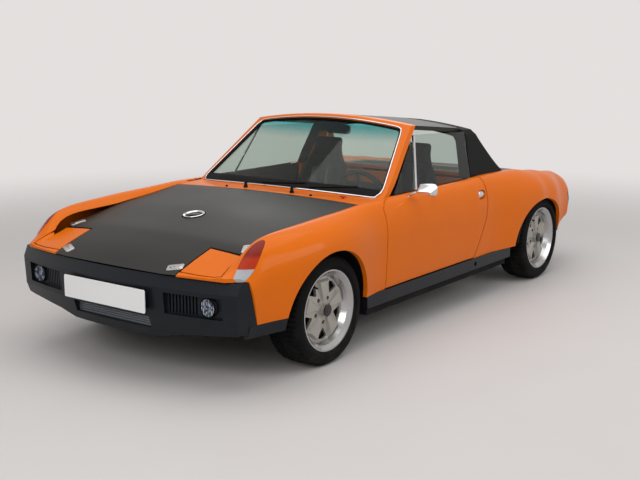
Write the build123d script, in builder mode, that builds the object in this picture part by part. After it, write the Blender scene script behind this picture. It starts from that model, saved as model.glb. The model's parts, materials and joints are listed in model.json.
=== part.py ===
from build123d import *
from collections import namedtuple
from math import cos, radians, sin
import os

# ---------------------------------------------------------------------------
# Mid-engine sports car with a lift-off roof panel, left-hand drive.
# Millimetres. +Z up, the nose points to -Y, the driver sits on the +X side.
# The origin is on the floor, under the middle of the car.
# ---------------------------------------------------------------------------

# Overall sizes
NOSE_Y = -2000
TAIL_Y = 2000
NOSE_FACE_Y = NOSE_Y + 8
TAIL_FACE_Y = TAIL_Y - 42
WHEELBASE = 2450
FRONT_AXLE_Y = -WHEELBASE / 2
REAR_AXLE_Y = WHEELBASE / 2

# Wheels and tyres
TYRE_RADIUS = 288
TYRE_WIDTH = 200
TYRE_WALL = 12
TYRE_BULGE = 5
RIM_WIDTH = 190
RIM_RADIUS = 211
BEAD_RADIUS = 190
WELL_RADIUS = 168
RIM_WALL = 7
SPOKES = 5
LUG_CIRCLE_RADIUS = 66
LUG_HOLE_RADIUS = 11
CAP_RADIUS = 33
LEAF_BACK = 52
LEAF_HEIGHT = 22
FRONT_WHEEL_FACE_X = 800
REAR_WHEEL_FACE_X = 820
AXLE_Z = TYRE_RADIUS
DISC_RADIUS = 138
HUB_BACK = 118
STUB_RADIUS = 19

# Wheel arches, seen from the side: centre, half length, height over the axle
FRONT_ARCH = (-1252, 345, 320)
REAR_ARCH = (1178, 352, 286)
FRONT_HOUSE_RADIUS = 352
REAR_HOUSE_RADIUS = 322
LINER = 6

# Skins, gaps and glass
SKIN = 26
SHUT_GAP = 6
LID_GAP = 7
SEAT_GAP = 0.3
GLASS = 6
LID_CUT = 260
STATION_STEP = 160

# Body breaks along the car
DOOR_FRONT_Y = -700
DOOR_REAR_Y = 455
DOOR_REAR_LOW_Y = 310
DOOR_REAR_RAKE = 7
DOOR_BOTTOM_Z = 300
DOOR_INNER_X = 700
DOOR_FRAME = 24
HANDLE_Y = 392
HANDLE_Z = 688
HANDLE_LENGTH = 92
HANDLE_HEIGHT = 56
HANDLE_FLOOR_X = 776
COWL_FRONT_Y = -797
COWL_REAR_Y = -575
COWL_HALF_WIDTH = 684
FLOOR_Z = 165
FLOOR_THICKNESS = 25
ROCKER_INNER_X = 660
ROCKER_OUTER_X = 768
SILL_COVER_OUTER_X = 798
SILL_COVER_BOTTOM_Z = 222
FIREWALL_Y = -820
BULKHEAD_Y = 612
BULKHEAD = 25
TUNNEL_WIDTH = 220
TUNNEL_TOP_Z = 360

# Lids: hinge line, then the far edge that sets the slope
HOOD_HINGE = (-803, 785)
HOOD_FAR = (-1700, 640)
TRUNK_HINGE = (1015, 772)
TRUNK_FAR = (1940, 640)
ENGINE_LID_HINGE = (662, 788)
ENGINE_LID_FAR = (960, 772)
COVER_HINGE = (-1702, 656)
COVER_LENGTH = 222
COVER_FAR = (-1925, 572)
HOOD_HALF_WIDTH = 672
HOOD_NOSE_HALF_WIDTH = 428
HOOD_SHOULDER_Y = -1692
COVER_OUTER_X = 668
TRUNK_HALF_WIDTH = 600
ENGINE_LID_HALF_WIDTH = 480
LID_LOWEST_Z = 553
FAR = 1000

# Grille in the engine lid
LOUVRES = 8
LOUVRE_PITCH = 30
LOUVRE_WIDTH = 16
LOUVRE_LENGTH = 400
LOUVRE_BRIDGE = 28
LOUVRE_CENTRE_V = 145

# Bumpers
BUMPER_TOP_Z = 545
BUMPER_RIDGE_Z = 490
BUMPER_CREASE_Z = 342
BUMPER_BOTTOM_Z = 228
BUMPER_CORNER_X = 766
BUMPER_END_X = 792
BUMPER_END_GAP = 4
BUMPER_END_SLANT = 45
BUMPER_BACK_Y = -1885
BUMPER_END_Y = -1820
TUB_FRONT_Y = BUMPER_BACK_Y + SEAT_GAP
REAR_BUMPER_TOP_Z = 535
REAR_BUMPER_BOTTOM_Z = 400
REAR_BUMPER_START_Y = 1796
REAR_BUMPER_INNER_Y = 1900
VALANCE_TOP_Z = 335
VALANCE_BOTTOM_Z = 272
GRILLE_X = (372, 690)
GRILLE_Z = (366, 470)
GRILLE_FLOOR_Y = (-1946, -1884)
GRILLE_SLOTS = 9
SLOT_WIDTH = 9
SLOT_PITCH = 18.5
SLOT_DEPTH = 26
FOG_LAMP_X = 606
FOG_LAMP_Z = 418
FOG_LAMP_RADIUS = 47
FOG_LAMP_FACE_Y = -1920
FOG_LAMP_LENGTH = 44
PLATE_WIDTH = 580
PLATE_HEIGHT = 114
PLATE_THICKNESS = 4
PLATE_Z = 417
PLINTH_Y = -2008
INLET_HALF_WIDTH = 272
INLET_Z = (276, 338)

# Exhaust tips and jack sockets
TIP_RADIUS = 31
JACK_Y = 330
JACK_Z = 256
JACK_RADIUS = 15

# Filler, luggage tubs and headlights
FILLER_Y = -1363
FILLER_HOLE_RADIUS = 64
FILLER_NECK_RADIUS = 50
FILLER_TOP_Z = 712
FILLER_CUP_DEPTH = 18
FRONT_TUB_HALF_WIDTH = 408
FRONT_TUB_FLOOR_Z = 250
TUB_WALL = 10
LAMP_X = 552
LAMP_BACK = (-1800, 520)
LAMP_RADIUS = 62
LAMP_DEPTH = 38
LAMP_POCKET_Y = -1900
LAMP_POCKET_Z = 478

# Windscreen: a band that leans back, and its outline from the front
SCREEN_LOW = (740, 700, -613, -722)
SCREEN_HIGH = (1210, 600, -15, -112)
FRAME_DEPTH = 52
SCREEN_RECESS = 22
SCREEN_GLASS_DEPTH = 9

# Roof and roll hoop
ROOF_FRONT_Y = -88
ROOF_REAR_Y = 500
ROOF_THICKNESS = 26
ROOF_SIDE_X = 672
BELT_Z = 776
GLASS_BASE_Z = BELT_Z - 6
GLASS_LOW = (715, 740)
GLASS_HIGH = (594, 1086)

# Seats and controls
SEAT_X = 345
STEERING_WHEEL_CENTRE = (350, -265, 705)
STEERING_WHEEL_RADIUS = 190
COLUMN_TILT = 22

# Steering: the kingpin line through the lower ball joint and the strut top
BALL_JOINT = (640, FRONT_AXLE_Y, 178)
STRUT_TOP = (510, FRONT_AXLE_Y, 622)
STRUT_RADIUS = 26

Station = namedtuple("Station", "y bottom low widest shoulder crest edge centre_z")

# Half sections of the lower body from nose to tail, as (x, z) points
STATIONS = [
    Station(-2080, (700, 240), (728, 350), (738, 430), (730, 480), (690, 512), (640, 505), 510),
    Station(-1985, (728, 240), (752, 350), (760, 430), (752, 490), (712, 532), (640, 536), 542),
    Station(-1910, (742, 240), (770, 350), (778, 430), (770, 505), (728, 550), (640, 560), 580),
    Station(-1845, (752, 240), (780, 350), (788, 440), (778, 525), (735, 580), (640, 582), 609),
    Station(-1765, (765, 240), (790, 350), (800, 460), (790, 580), (738, 655), (642, 608), 638),
    Station(-1690, (780, 240), (803, 350), (812, 470), (800, 620), (732, 705), (644, 634), 661),
    Station(-1600, (800, 240), (826, 350), (836, 480), (818, 645), (728, 728), (648, 658), 683),
    Station(-1400, (838, 240), (862, 350), (866, 520), (842, 670), (724, 744), (654, 692), 714),
    Station(-1180, (840, 240), (864, 350), (868, 530), (842, 682), (722, 757), (662, 722), 744),
    Station(-950, (812, 240), (828, 350), (836, 500), (815, 685), (728, 768), (672, 746), 768),
    Station(-780, (785, 240), (798, 350), (805, 500), (792, 690), (735, 775), (680, 766), 782),
    Station(-450, (780, 240), (795, 350), (803, 500), (792, 690), (738, 776), (690, 776), 778),
    Station(200, (780, 240), (795, 350), (803, 500), (793, 690), (742, 778), (690, 778), 780),
    Station(600, (786, 240), (802, 350), (810, 500), (800, 690), (740, 786), (680, 782), 784),
    Station(880, (826, 240), (840, 350), (848, 500), (826, 690), (728, 786), (660, 770), 776),
    Station(1080, (844, 240), (860, 350), (866, 500), (842, 680), (724, 770), (650, 750), 760),
    Station(1330, (842, 240), (858, 350), (864, 490), (836, 650), (716, 742), (640, 722), 736),
    Station(1560, (790, 240), (808, 350), (816, 470), (792, 610), (706, 710), (630, 696), 708),
    Station(1760, (742, 240), (764, 350), (774, 450), (752, 570), (682, 672), (610, 664), 676),
    Station(1900, (712, 240), (734, 350), (744, 440), (724, 540), (656, 634), (595, 632), 646),
    Station(2060, (670, 240), (694, 350), (704, 430), (684, 505), (620, 580), (570, 585), 600),
]


def lid_plane(hinge, far):
    """The plane of a lid through its hinge line and its far edge, its own y running to the far edge."""
    along = Vector(0, far[0] - hinge[0], far[1] - hinge[1]).normalized()
    across = Vector(1, 0, 0) if far[0] > hinge[0] else Vector(-1, 0, 0)
    return Plane(origin=(0, hinge[0], hinge[1]), x_dir=across, z_dir=across.cross(along))


def inward(point, inset, top):
    """The point moved towards the inside of the car: in by the inset, and down where it is on top."""
    x, z = point
    return (x - inset, z - inset if top else z)


def blend(first, second, share):
    """A section part of the way from one station to the next."""
    def mix(a, b):
        return tuple(p + (q - p) * share for p, q in zip(a, b))
    points = [mix(first[i], second[i]) for i in range(1, 7)]
    return Station(first.y + (second.y - first.y) * share, *points,
                   first.centre_z + (second.centre_z - first.centre_z) * share)


def even_stations():
    """The stations with sections filled in between those that lie far apart, so the loft stays even."""
    sections = []
    for first, second in zip(STATIONS, STATIONS[1:]):
        count = max(1, round((second.y - first.y) / STATION_STEP))
        sections += [blend(first, second, step / count) for step in range(count)]
    return sections + [STATIONS[-1]]


def half_hull(inset):
    """The left half of the lower body as a solid, from sections set in by a wall thickness."""
    with BuildPart() as hull:
        for station in even_stations():
            bottom = inward(station.bottom, inset, False)
            low = inward(station.low, inset, False)
            widest = inward(station.widest, inset, False)
            shoulder = inward(station.shoulder, inset, True)
            crest = inward(station.crest, inset, True)
            edge = inward(station.edge, inset, True)
            centre = (0, station.centre_z - inset)
            with BuildSketch(Plane.XZ.offset(-station.y)):
                with BuildLine():
                    Line((0, bottom[1]), bottom)
                    Spline(bottom, low, widest, shoulder, crest, edge)
                    Spline(edge, centre, tangents=[(-edge[0], 2 * (centre[1] - edge[1])), (-1, 0)])
                    Line(centre, (0, bottom[1]))
                make_face()
        loft()
        with BuildSketch(Plane.XY, mode=Mode.PRIVATE) as plan:
            with BuildLine():
                nose = NOSE_FACE_Y + inset
                tail = TAIL_FACE_Y - inset
                ThreePointArc((-5, nose), (430, nose + 46), (700, nose + 92))
                Polyline((700, nose + 92), (765, nose + 155), (900, nose + 240), (900, tail - 120),
                         (700, tail - 48))
                ThreePointArc((700, tail - 48), (400, tail - 12), (-5, tail))
                Line((-5, tail), (-5, nose))
            make_face()
        extrude(plan.sketch, amount=900, mode=Mode.INTERSECT)
    return hull.part


def side_prism(points, x_near, x_far):
    """A prism along X between two planes, from (y, z) points seen from the side."""
    with BuildPart() as prism:
        with BuildSketch(Plane.YZ.offset(x_near)):
            with BuildLine():
                Polyline(*points, close=True)
            make_face()
        extrude(amount=x_far - x_near)
    return prism.part


def front_prism(points, y_near, y_far):
    """A prism along Y between two planes, from (x, z) points seen from the front."""
    with BuildPart() as prism:
        with BuildSketch(Plane.XZ.offset(-y_near)):
            with BuildLine():
                Polyline(*points, close=True)
            make_face()
        extrude(amount=y_near - y_far)
    return prism.part


def panel_prism(plane, points, grow=0):
    """A prism square to a lid's plane, from points on that plane, grown by a shut gap."""
    with BuildPart() as prism:
        with BuildSketch(plane.offset(-LID_CUT)):
            with BuildLine():
                Polyline(*points, close=True)
            make_face()
            if grow:
                offset(amount=grow, kind=Kind.INTERSECTION)
        extrude(amount=2 * LID_CUT)
    return prism.part


def block(x, y, z):
    """A box from its lowest and highest coordinates along each axis."""
    with BuildPart() as box:
        with Locations(((x[0] + x[1]) / 2, (y[0] + y[1]) / 2, (z[0] + z[1]) / 2)):
            Box(x[1] - x[0], y[1] - y[0], z[1] - z[0])
    return box.part


def arch_prism(arch, x_near, x_far):
    """The opening over a wheel, as a prism along X that runs down past the sill."""
    centre_y, half_length, height = arch
    with BuildPart() as prism:
        with BuildSketch(Plane.YZ.offset(x_near)):
            with Locations((centre_y, AXLE_Z)):
                Ellipse(half_length, height)
                Rectangle(2 * half_length, AXLE_Z, align=(Align.CENTER, Align.MAX))
        extrude(amount=x_far - x_near)
    return prism.part


def round_bar(radius, start, end):
    """A round bar between two points."""
    line = Edge.make_line(start, end)
    with BuildPart() as bar:
        with BuildSketch(Plane(origin=start, z_dir=line.tangent_at(0))):
            Circle(radius)
        extrude(amount=line.length)
    return bar.part


def door_prism(grow, x_near=DOOR_INNER_X, x_far=900):
    """The door's outline in side view. Its rear edge runs in towards the front so that it swings clear."""
    with BuildPart() as prism:
        for x, draw_in in ((x_near, DOOR_REAR_RAKE), (x_far, 0)):
            share = draw_in * (1 if grow == 0 else 0)
            with BuildSketch(Plane.YZ.offset(x)):
                with BuildLine():
                    Polyline(
                        (DOOR_FRONT_Y + SHUT_GAP, DOOR_BOTTOM_Z),
                        (DOOR_REAR_LOW_Y - share, DOOR_BOTTOM_Z),
                        (DOOR_REAR_Y - 15 - share, 530),
                        (DOOR_REAR_Y - share, 640),
                        (DOOR_REAR_Y - share, 830),
                        (DOOR_FRONT_Y + 100, 830),
                        (DOOR_FRONT_Y + 100, 774),
                        (DOOR_FRONT_Y + 45, 764),
                        (DOOR_FRONT_Y + SHUT_GAP, 735),
                        close=True,
                    )
                make_face()
                if grow:
                    offset(amount=grow, kind=Kind.INTERSECTION)
        loft(ruled=True)
    return prism.part


def write(part, label):
    """Name a finished piece and write it."""
    part.label = label
    export_step(part, f"parts/{label}.step")


def both_sides(lefts):
    """Left-hand pieces together with their mirror images."""
    with BuildPart() as pieces:
        add(lefts)
        mirror(about=Plane.YZ)
    return pieces.part


def write_pair(left, name):
    """Write a left-hand piece and its mirror image."""
    with BuildPart() as right:
        add(left)
        mirror(about=Plane.YZ, mode=Mode.REPLACE)
    write(left, f"{name}_left")
    write(right.part, f"{name}_right")


os.makedirs("parts", exist_ok=True)
OUTER = half_hull(0)
INNER = half_hull(SKIN)


def carve(blanks, keep=(), cuts=(), both_sides=False):
    """Join the blanks, keep what lies inside every zone, cut the rest away and mirror if asked."""
    with BuildPart() as piece:
        add(blanks)
        for zone in keep:
            add(zone, mode=Mode.INTERSECT)
        for cut in cuts:
            add(cut, mode=Mode.SUBTRACT)
        if both_sides:
            mirror(about=Plane.YZ)
    return piece.part


def largest(part):
    """The largest solid of a part, without the slivers that a cut leaves."""
    return part.solids().sort_by(SortBy.VOLUME)[-1]


SHELL = carve([OUTER], cuts=[INNER])

# --- Lid outlines, as points on each lid's own plane (left half, centre line at x = 0)
HOOD_PLANE = lid_plane(HOOD_HINGE, HOOD_FAR)
COVER_PLANE = lid_plane(COVER_HINGE, COVER_FAR)
TRUNK_PLANE = lid_plane(TRUNK_HINGE, TRUNK_FAR)
ENGINE_PLANE = lid_plane(ENGINE_LID_HINGE, ENGINE_LID_FAR)


def mirrored_outline(half):
    """A whole outline from its left half, listed from the centre line round to the centre line."""
    return half + [(-x, y) for x, y in reversed(half) if x != 0]


SHOULDER_V = (HOOD_HINGE[0] - HOOD_SHOULDER_Y) / HOOD_PLANE.y_dir.dot(Vector(0, -1, 0))
HOOD_OUTLINE = mirrored_outline([
    (0, 0), (HOOD_HALF_WIDTH, 0), (HOOD_HALF_WIDTH - 32, SHOULDER_V),
    (HOOD_NOSE_HALF_WIDTH, SHOULDER_V), (HOOD_NOSE_HALF_WIDTH, 1400), (0, 1400),
])
COVER_OUTLINE = [
    (-437, 0), (-437, COVER_LENGTH + 8), (-560, COVER_LENGTH + 2), (-COVER_OUTER_X, COVER_LENGTH - 16),
    (-COVER_OUTER_X + 32, 0),
]
TRUNK_OUTLINE = mirrored_outline([
    (0, 0), (TRUNK_HALF_WIDTH, 0), (TRUNK_HALF_WIDTH - 35, 880), (380, 908), (0, 918),
])
ENGINE_OUTLINE = mirrored_outline([
    (0, 0), (ENGINE_LID_HALF_WIDTH, 0), (ENGINE_LID_HALF_WIDTH, 290), (0, 290),
])


def centre_panel(plane, outline):
    """A lid or panel over the centre line, cut out of the upper skin."""
    above = block((0, FAR), (-FAR * 3, FAR * 3), (LID_LOWEST_Z, FAR))
    return carve([SHELL], keep=[panel_prism(plane, outline), above], both_sides=True)


def engine_lid():
    """The engine lid with a grille of cross slots that lets the engine breathe."""
    with BuildPart() as lid:
        add(centre_panel(ENGINE_PLANE, ENGINE_OUTLINE))
        with BuildSketch(ENGINE_PLANE.offset(-LID_CUT)):
            with Locations((0, LOUVRE_CENTRE_V)):
                with GridLocations(LOUVRE_LENGTH + LOUVRE_BRIDGE, LOUVRE_PITCH, 2, LOUVRES):
                    RectangleRounded(LOUVRE_LENGTH, LOUVRE_WIDTH, LOUVRE_WIDTH * 0.4)
        extrude(amount=2 * LID_CUT, mode=Mode.SUBTRACT)
    return lid.part


def hood():
    """The hood, with its turned-down nose and the hole for the filler."""
    blank = centre_panel(HOOD_PLANE, HOOD_OUTLINE)
    with BuildPart() as lid:
        add(blank)
        with BuildSketch(Plane.XY.offset(600)):
            with Locations((0, FILLER_Y)):
                Circle(FILLER_HOLE_RADIUS)
        extrude(amount=300, mode=Mode.SUBTRACT)
    return lid.part


def filler():
    """The fuel cell in the front tub with its filler neck and cap, standing up through the hood."""
    with BuildPart() as neck:
        with BuildSketch(Plane.XY.offset(500)):
            with Locations((0, FILLER_Y)):
                Circle(FILLER_NECK_RADIUS)
        extrude(amount=FILLER_TOP_Z - 500)
        with BuildSketch(Plane.XY.offset(FILLER_TOP_Z)):
            with Locations((0, FILLER_Y)):
                Circle(FILLER_NECK_RADIUS - 7)
        extrude(amount=-FILLER_CUP_DEPTH, mode=Mode.SUBTRACT)
        with BuildSketch(Plane.XY.offset(FILLER_TOP_Z - FILLER_CUP_DEPTH)):
            with Locations((0, FILLER_Y)):
                Circle(FILLER_NECK_RADIUS - 16)
        extrude(amount=FILLER_CUP_DEPTH - 6)
    cell_bottom = FRONT_TUB_FLOOR_Z + TUB_WALL + SEAT_GAP
    cell = block((-250, 250), (FILLER_Y - 120, FILLER_Y + 120), (cell_bottom, 501))
    return carve([cell, neck.part])


def front_fender():
    """A front fender with its flare, lens pocket, headlight opening and rear door pillar."""
    return largest(carve(
        [SHELL, door_frame()],
        keep=[block((0, FAR), (-FAR * 3, COWL_REAR_Y), (0, FAR))],
        cuts=[
            door_prism(SHUT_GAP),
            panel_prism(HOOD_PLANE, HOOD_OUTLINE, LID_GAP),
            panel_prism(COVER_PLANE, COVER_OUTLINE, LID_GAP + 1),
            block((-1, HOOD_NOSE_HALF_WIDTH + 2), (-FAR * 3, FAR), (0, FAR)),
            block((-1, COWL_HALF_WIDTH), (COWL_FRONT_Y - 40, FAR), (0, FAR)),
            block((-1, DOOR_INNER_X), (DOOR_FRONT_Y, FAR), (0, FAR)),
            bumper_space(),
            arch_prism(FRONT_ARCH, 600, 900),
            block((0, FAR), (-FAR * 3, FAR), (0, DOOR_BOTTOM_Z - SHUT_GAP)),
            signal_prism(1),
        ],
    ))


def door_frame():
    """The ring of the body around the door: hinge pillar, lock pillar and sill upstand."""
    return carve([OUTER], keep=[door_prism(SHUT_GAP + DOOR_FRAME)], cuts=[door_prism(SHUT_GAP)])


def bumper_space():
    """The room that the front bumper and valance take out of the nose."""
    return side_prism(
        [(NOSE_Y - 200, 0), (NOSE_Y - 200, BUMPER_TOP_Z + 3), (BUMPER_END_Y, BUMPER_TOP_Z + 3),
         (BUMPER_END_Y + BUMPER_END_SLANT, VALANCE_TOP_Z), (FRONT_AXLE_Y, VALANCE_TOP_Z), (FRONT_AXLE_Y, 0)],
        -FAR, FAR)


def signal_prism(grow):
    """The front turn signal's outline seen from the front, drawn through the fender's crest."""
    with BuildPart() as prism:
        with BuildSketch(Plane.XZ.offset(1990)):
            with Locations(Location((742, 628), 8)):
                Ellipse(31 + grow, 86 + grow)
        extrude(amount=-330)
    return prism.part


def turn_signal():
    """A front turn signal lens that fills its pocket flush with the fender."""
    return largest(carve([SHELL], keep=[signal_prism(0)], cuts=[bumper_space()]))


def cowl():
    """The panel between the hood and the windscreen."""
    zone = block((0, COWL_HALF_WIDTH - SEAT_GAP), (COWL_FRONT_Y - 40 + SEAT_GAP, COWL_REAR_Y), (500, FAR))
    cuts = [door_prism(SHUT_GAP), panel_prism(HOOD_PLANE, HOOD_OUTLINE, LID_GAP)]
    return carve([SHELL], keep=[zone], cuts=cuts, both_sides=True)


def rear_quarter():
    """A rear quarter with its flare, lock pillar and the corner of the tail."""
    return largest(carve(
        [SHELL, door_frame()],
        keep=[block((0, FAR), (DOOR_REAR_LOW_Y - 40, FAR * 3), (0, FAR))],
        cuts=[
            block((-1, ROOF_SIDE_X), (-FAR, BULKHEAD_Y + BULKHEAD), (0, FAR)),
            block((-1, DOOR_INNER_X), (-FAR, DOOR_REAR_Y + SHUT_GAP), (0, FAR)),
            door_prism(SHUT_GAP),
            panel_prism(TRUNK_PLANE, TRUNK_OUTLINE, LID_GAP),
            block((-1, TRUNK_HALF_WIDTH - 35), (-FAR, FAR * 3), (0, FAR)),
            arch_prism(REAR_ARCH, 600, 900),
            block((0, FAR), (-FAR * 3, FAR * 3), (0, DOOR_BOTTOM_Z - SHUT_GAP)),
            rear_bumper_space(),
            tail_lamp_prism(1),
        ],
    ))


def rear_bumper_space():
    """The room that the rear bumper and the valance under it take out of the tail."""
    return side_prism(
        [(REAR_BUMPER_START_Y - 210, -1), (REAR_BUMPER_START_Y - 210, DOOR_BOTTOM_Z - SHUT_GAP),
         (REAR_BUMPER_START_Y, REAR_BUMPER_BOTTOM_Z - 20), (REAR_BUMPER_START_Y, REAR_BUMPER_TOP_Z + 3),
         (FAR * 3, REAR_BUMPER_TOP_Z + 3), (FAR * 3, -1)],
        -FAR, FAR)


def tail_lamp_prism(grow):
    """The tail lamp's outline seen from behind, drawn into the corner of the tail."""
    with BuildPart() as prism:
        with BuildSketch(Plane.XZ.offset(-1899)):
            with Locations((560, 580)):
                RectangleRounded(230 + 2 * grow, 60 + 2 * grow, 14)
        extrude(amount=-150)
    return prism.part


def tail_lamp():
    """A tail lamp that fills its opening flush with the tail."""
    return largest(carve([SHELL], keep=[tail_lamp_prism(0)]))


def tail_panel():
    """The panel between the tail lamps, over the rear bumper."""
    zone = block((0, TRUNK_HALF_WIDTH - 35), (1850, FAR * 3), (REAR_BUMPER_TOP_Z + 3, FAR))
    cuts = [panel_prism(TRUNK_PLANE, TRUNK_OUTLINE, LID_GAP + 3), tail_lamp_prism(1)]
    return carve([SHELL], keep=[zone], cuts=cuts, both_sides=True)


def deck_strips():
    """The fixed strips of deck around the engine lid."""
    zone = block((0, TRUNK_HALF_WIDTH - 35), (BULKHEAD_Y + BULKHEAD, 1080), (600, FAR))
    cuts = [panel_prism(TRUNK_PLANE, TRUNK_OUTLINE, LID_GAP),
            panel_prism(ENGINE_PLANE, ENGINE_OUTLINE, LID_GAP)]
    return carve([SHELL], keep=[zone], cuts=cuts, both_sides=True)


def door():
    """A door as thick as the whole door, with its shut faces and the recess for its flush handle."""
    with BuildPart() as recess:
        with BuildSketch(Plane.YZ.offset(HANDLE_FLOOR_X)):
            with Locations((HANDLE_Y, HANDLE_Z)):
                RectangleRounded(HANDLE_LENGTH, HANDLE_HEIGHT, HANDLE_HEIGHT * 0.4)
        extrude(amount=200)
    return carve([OUTER], keep=[door_prism(0)], cuts=[recess.part])


def leaning_slab(thickness, offset_out=0):
    """The plane of the side glass as a slab that leans in towards the roof."""
    return front_prism(
        [(GLASS_LOW[0] + offset_out, GLASS_LOW[1]), (GLASS_HIGH[0] + offset_out, GLASS_HIGH[1]),
         (GLASS_HIGH[0] + offset_out - thickness, GLASS_HIGH[1]),
         (GLASS_LOW[0] + offset_out - thickness, GLASS_LOW[1])],
        -800, 800)


def door_glass():
    """The dropping window of a door, standing in the belt slot."""
    outline = [(-239, GLASS_BASE_Z), (406, GLASS_BASE_Z), (492, 1064), (-96.7, 1084)]
    return largest(carve([leaning_slab(GLASS)], keep=[side_prism(outline, 500, 800)], cuts=[OUTER]))


def quarter_glass():
    """The fixed front quarter glass."""
    outline = [(-500, GLASS_BASE_Z), (-257.6, GLASS_BASE_Z), (-129, 1054), (-151, 1054)]
    return largest(carve([leaning_slab(GLASS)], keep=[side_prism(outline, 500, 800)], cuts=[OUTER]))


def divider():
    """The bright bar between the quarter glass and the dropping window."""
    outline = [(-257.3, GLASS_BASE_Z), (-239.3, GLASS_BASE_Z), (-97, 1084), (-115, 1084)]
    return largest(carve([leaning_slab(GLASS + 6, 3)], keep=[side_prism(outline, 500, 800)], cuts=[OUTER]))


def screen_band(depth, setback=0):
    """The swept, leaning band of the windscreen, from a low and a high arc."""
    with BuildPart() as band:
        for z, half_width, side_y, centre_y in (SCREEN_LOW, SCREEN_HIGH):
            with BuildSketch(Plane.XY.offset(z)):
                with BuildLine():
                    front = ThreePointArc((-half_width, side_y + setback), (0, centre_y + setback),
                                          (half_width, side_y + setback))
                    back = ThreePointArc((-half_width, side_y + setback + depth),
                                         (0, centre_y + setback + depth),
                                         (half_width, side_y + setback + depth))
                    Line(front @ 0, back @ 0)
                    Line(front @ 1, back @ 1)
                make_face()
        loft(ruled=True)
    return band.part


def screen_outline(base, corner, crown_z, base_z, grow=0):
    """A windscreen outline from the front: base, upper corner and crown, drawn through the car."""
    with BuildPart() as prism:
        with BuildSketch(Plane.XZ.offset(200 - 1000)):
            with BuildLine():
                Line((-base[0], base[1]), (-corner[0], corner[1]))
                ThreePointArc((-corner[0], corner[1]), (0, crown_z), corner)
                Line(corner, base)
                ThreePointArc(base, (0, base_z), (-base[0], base[1]))
            make_face()
            if grow:
                offset(amount=grow, kind=Kind.INTERSECTION)
        extrude(amount=2000)
    return prism.part


def opening_outline(grow):
    """The windscreen opening from the front."""
    return screen_outline((662, 792), (536, 1122), 1165, 812, grow)


with BuildPart() as mirrored_builder:
    add(OUTER)
    mirror(about=Plane.YZ, mode=Mode.REPLACE)
MIRRORED_OUTER = mirrored_builder.part


def windscreen_frame():
    """The windscreen pillars and header, standing on the cowl."""
    outline = screen_outline((712, 740), (580, 1140), 1187, 736)
    return carve([screen_band(FRAME_DEPTH)], keep=[outline],
                 cuts=[opening_outline(0), OUTER, MIRRORED_OUTER])


def windscreen():
    """The laminated windscreen, set back in its frame."""
    return carve([screen_band(SCREEN_GLASS_DEPTH, SCREEN_RECESS)], keep=[opening_outline(-SEAT_GAP)],
                 cuts=[OUTER, MIRRORED_OUTER])


def roof_section(y, edge_z, crown_z, half_width, thickness):
    """One crowned section of the roof panel."""
    with BuildSketch(Plane.XZ.offset(-y)) as section:
        with BuildLine():
            top = ThreePointArc((-half_width, edge_z), (0, crown_z), (half_width, edge_z))
            low = ThreePointArc((-half_width, edge_z - thickness), (0, crown_z - thickness),
                                (half_width, edge_z - thickness))
            Line(top @ 0, low @ 0)
            Line(top @ 1, low @ 1)
        make_face()
    return section.sketch


def roof_panel():
    """The lift-off roof panel."""
    sections = [
        roof_section(ROOF_FRONT_Y, 1140, 1186, 556, ROOF_THICKNESS),
        roof_section(ROOF_REAR_Y, 1084, 1134, 556, ROOF_THICKNESS),
    ]
    with BuildPart() as roof:
        add(sections)
        loft(ruled=True)
    return largest(carve([roof.part], cuts=[screen_band(FRAME_DEPTH + 2)]))


def hoop_arch(points, crown_z, y_near, y_far):
    """An arch across the car, as a prism along Y."""
    with BuildPart() as prism:
        with BuildSketch(Plane.XZ.offset(-y_near)):
            with BuildLine():
                Polyline(*[(-x, z) for x, z in reversed(points)])
                ThreePointArc((-points[0][0], points[0][1]), (0, crown_z), points[0])
                Polyline(*points)
                Line(points[-1], (-points[-1][0], points[-1][1]))
            make_face()
        extrude(amount=y_near - y_far)
    return prism.part


def sail_profile():
    """The side view of the roll hoop and sail panel, as a prism across the car."""
    with BuildPart() as prism:
        with BuildSketch(Plane.YZ.offset(-800)):
            with BuildLine():
                Polyline((905, 700), (398, 700), (506, 1078), (506, 1134), (590, 1122), (606, 1064))
                Spline((606, 1064), (640, 1012), (728, 905), (800, 830), (905, 762))
                Line((905, 762), (905, 700))
            make_face()
        extrude(amount=1600)
    return prism.part


def roll_hoop():
    """The roll hoop with its two sail panels."""
    return carve(
        [hoop_arch([(588, 1072), (618, 1040), (712, 740)], 1130, 380, 1000)],
        keep=[sail_profile()],
        cuts=[hoop_arch([(520, 1030), (545, 1000), (640, 700)], 1084, 370, 1010), OUTER, MIRRORED_OUTER,
              both_sides([block((692, 900), (0, DOOR_REAR_Y + SHUT_GAP), (0, 800))])],
    )


def bumper_outline(z, front_y, half_width, corner_y, end_x):
    """One level of the front bumper in plan, from the nose curve round the corners to its ends."""
    end_y = BUMPER_END_Y + BUMPER_END_SLANT
    with BuildSketch(Plane.XY.offset(z)) as level:
        with BuildLine():
            ThreePointArc((-half_width, corner_y), (0, front_y), (half_width, corner_y))
            Polyline((half_width, corner_y), (end_x, end_y), (-end_x, end_y), (-half_width, corner_y))
        make_face()
    return level.sketch


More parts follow.
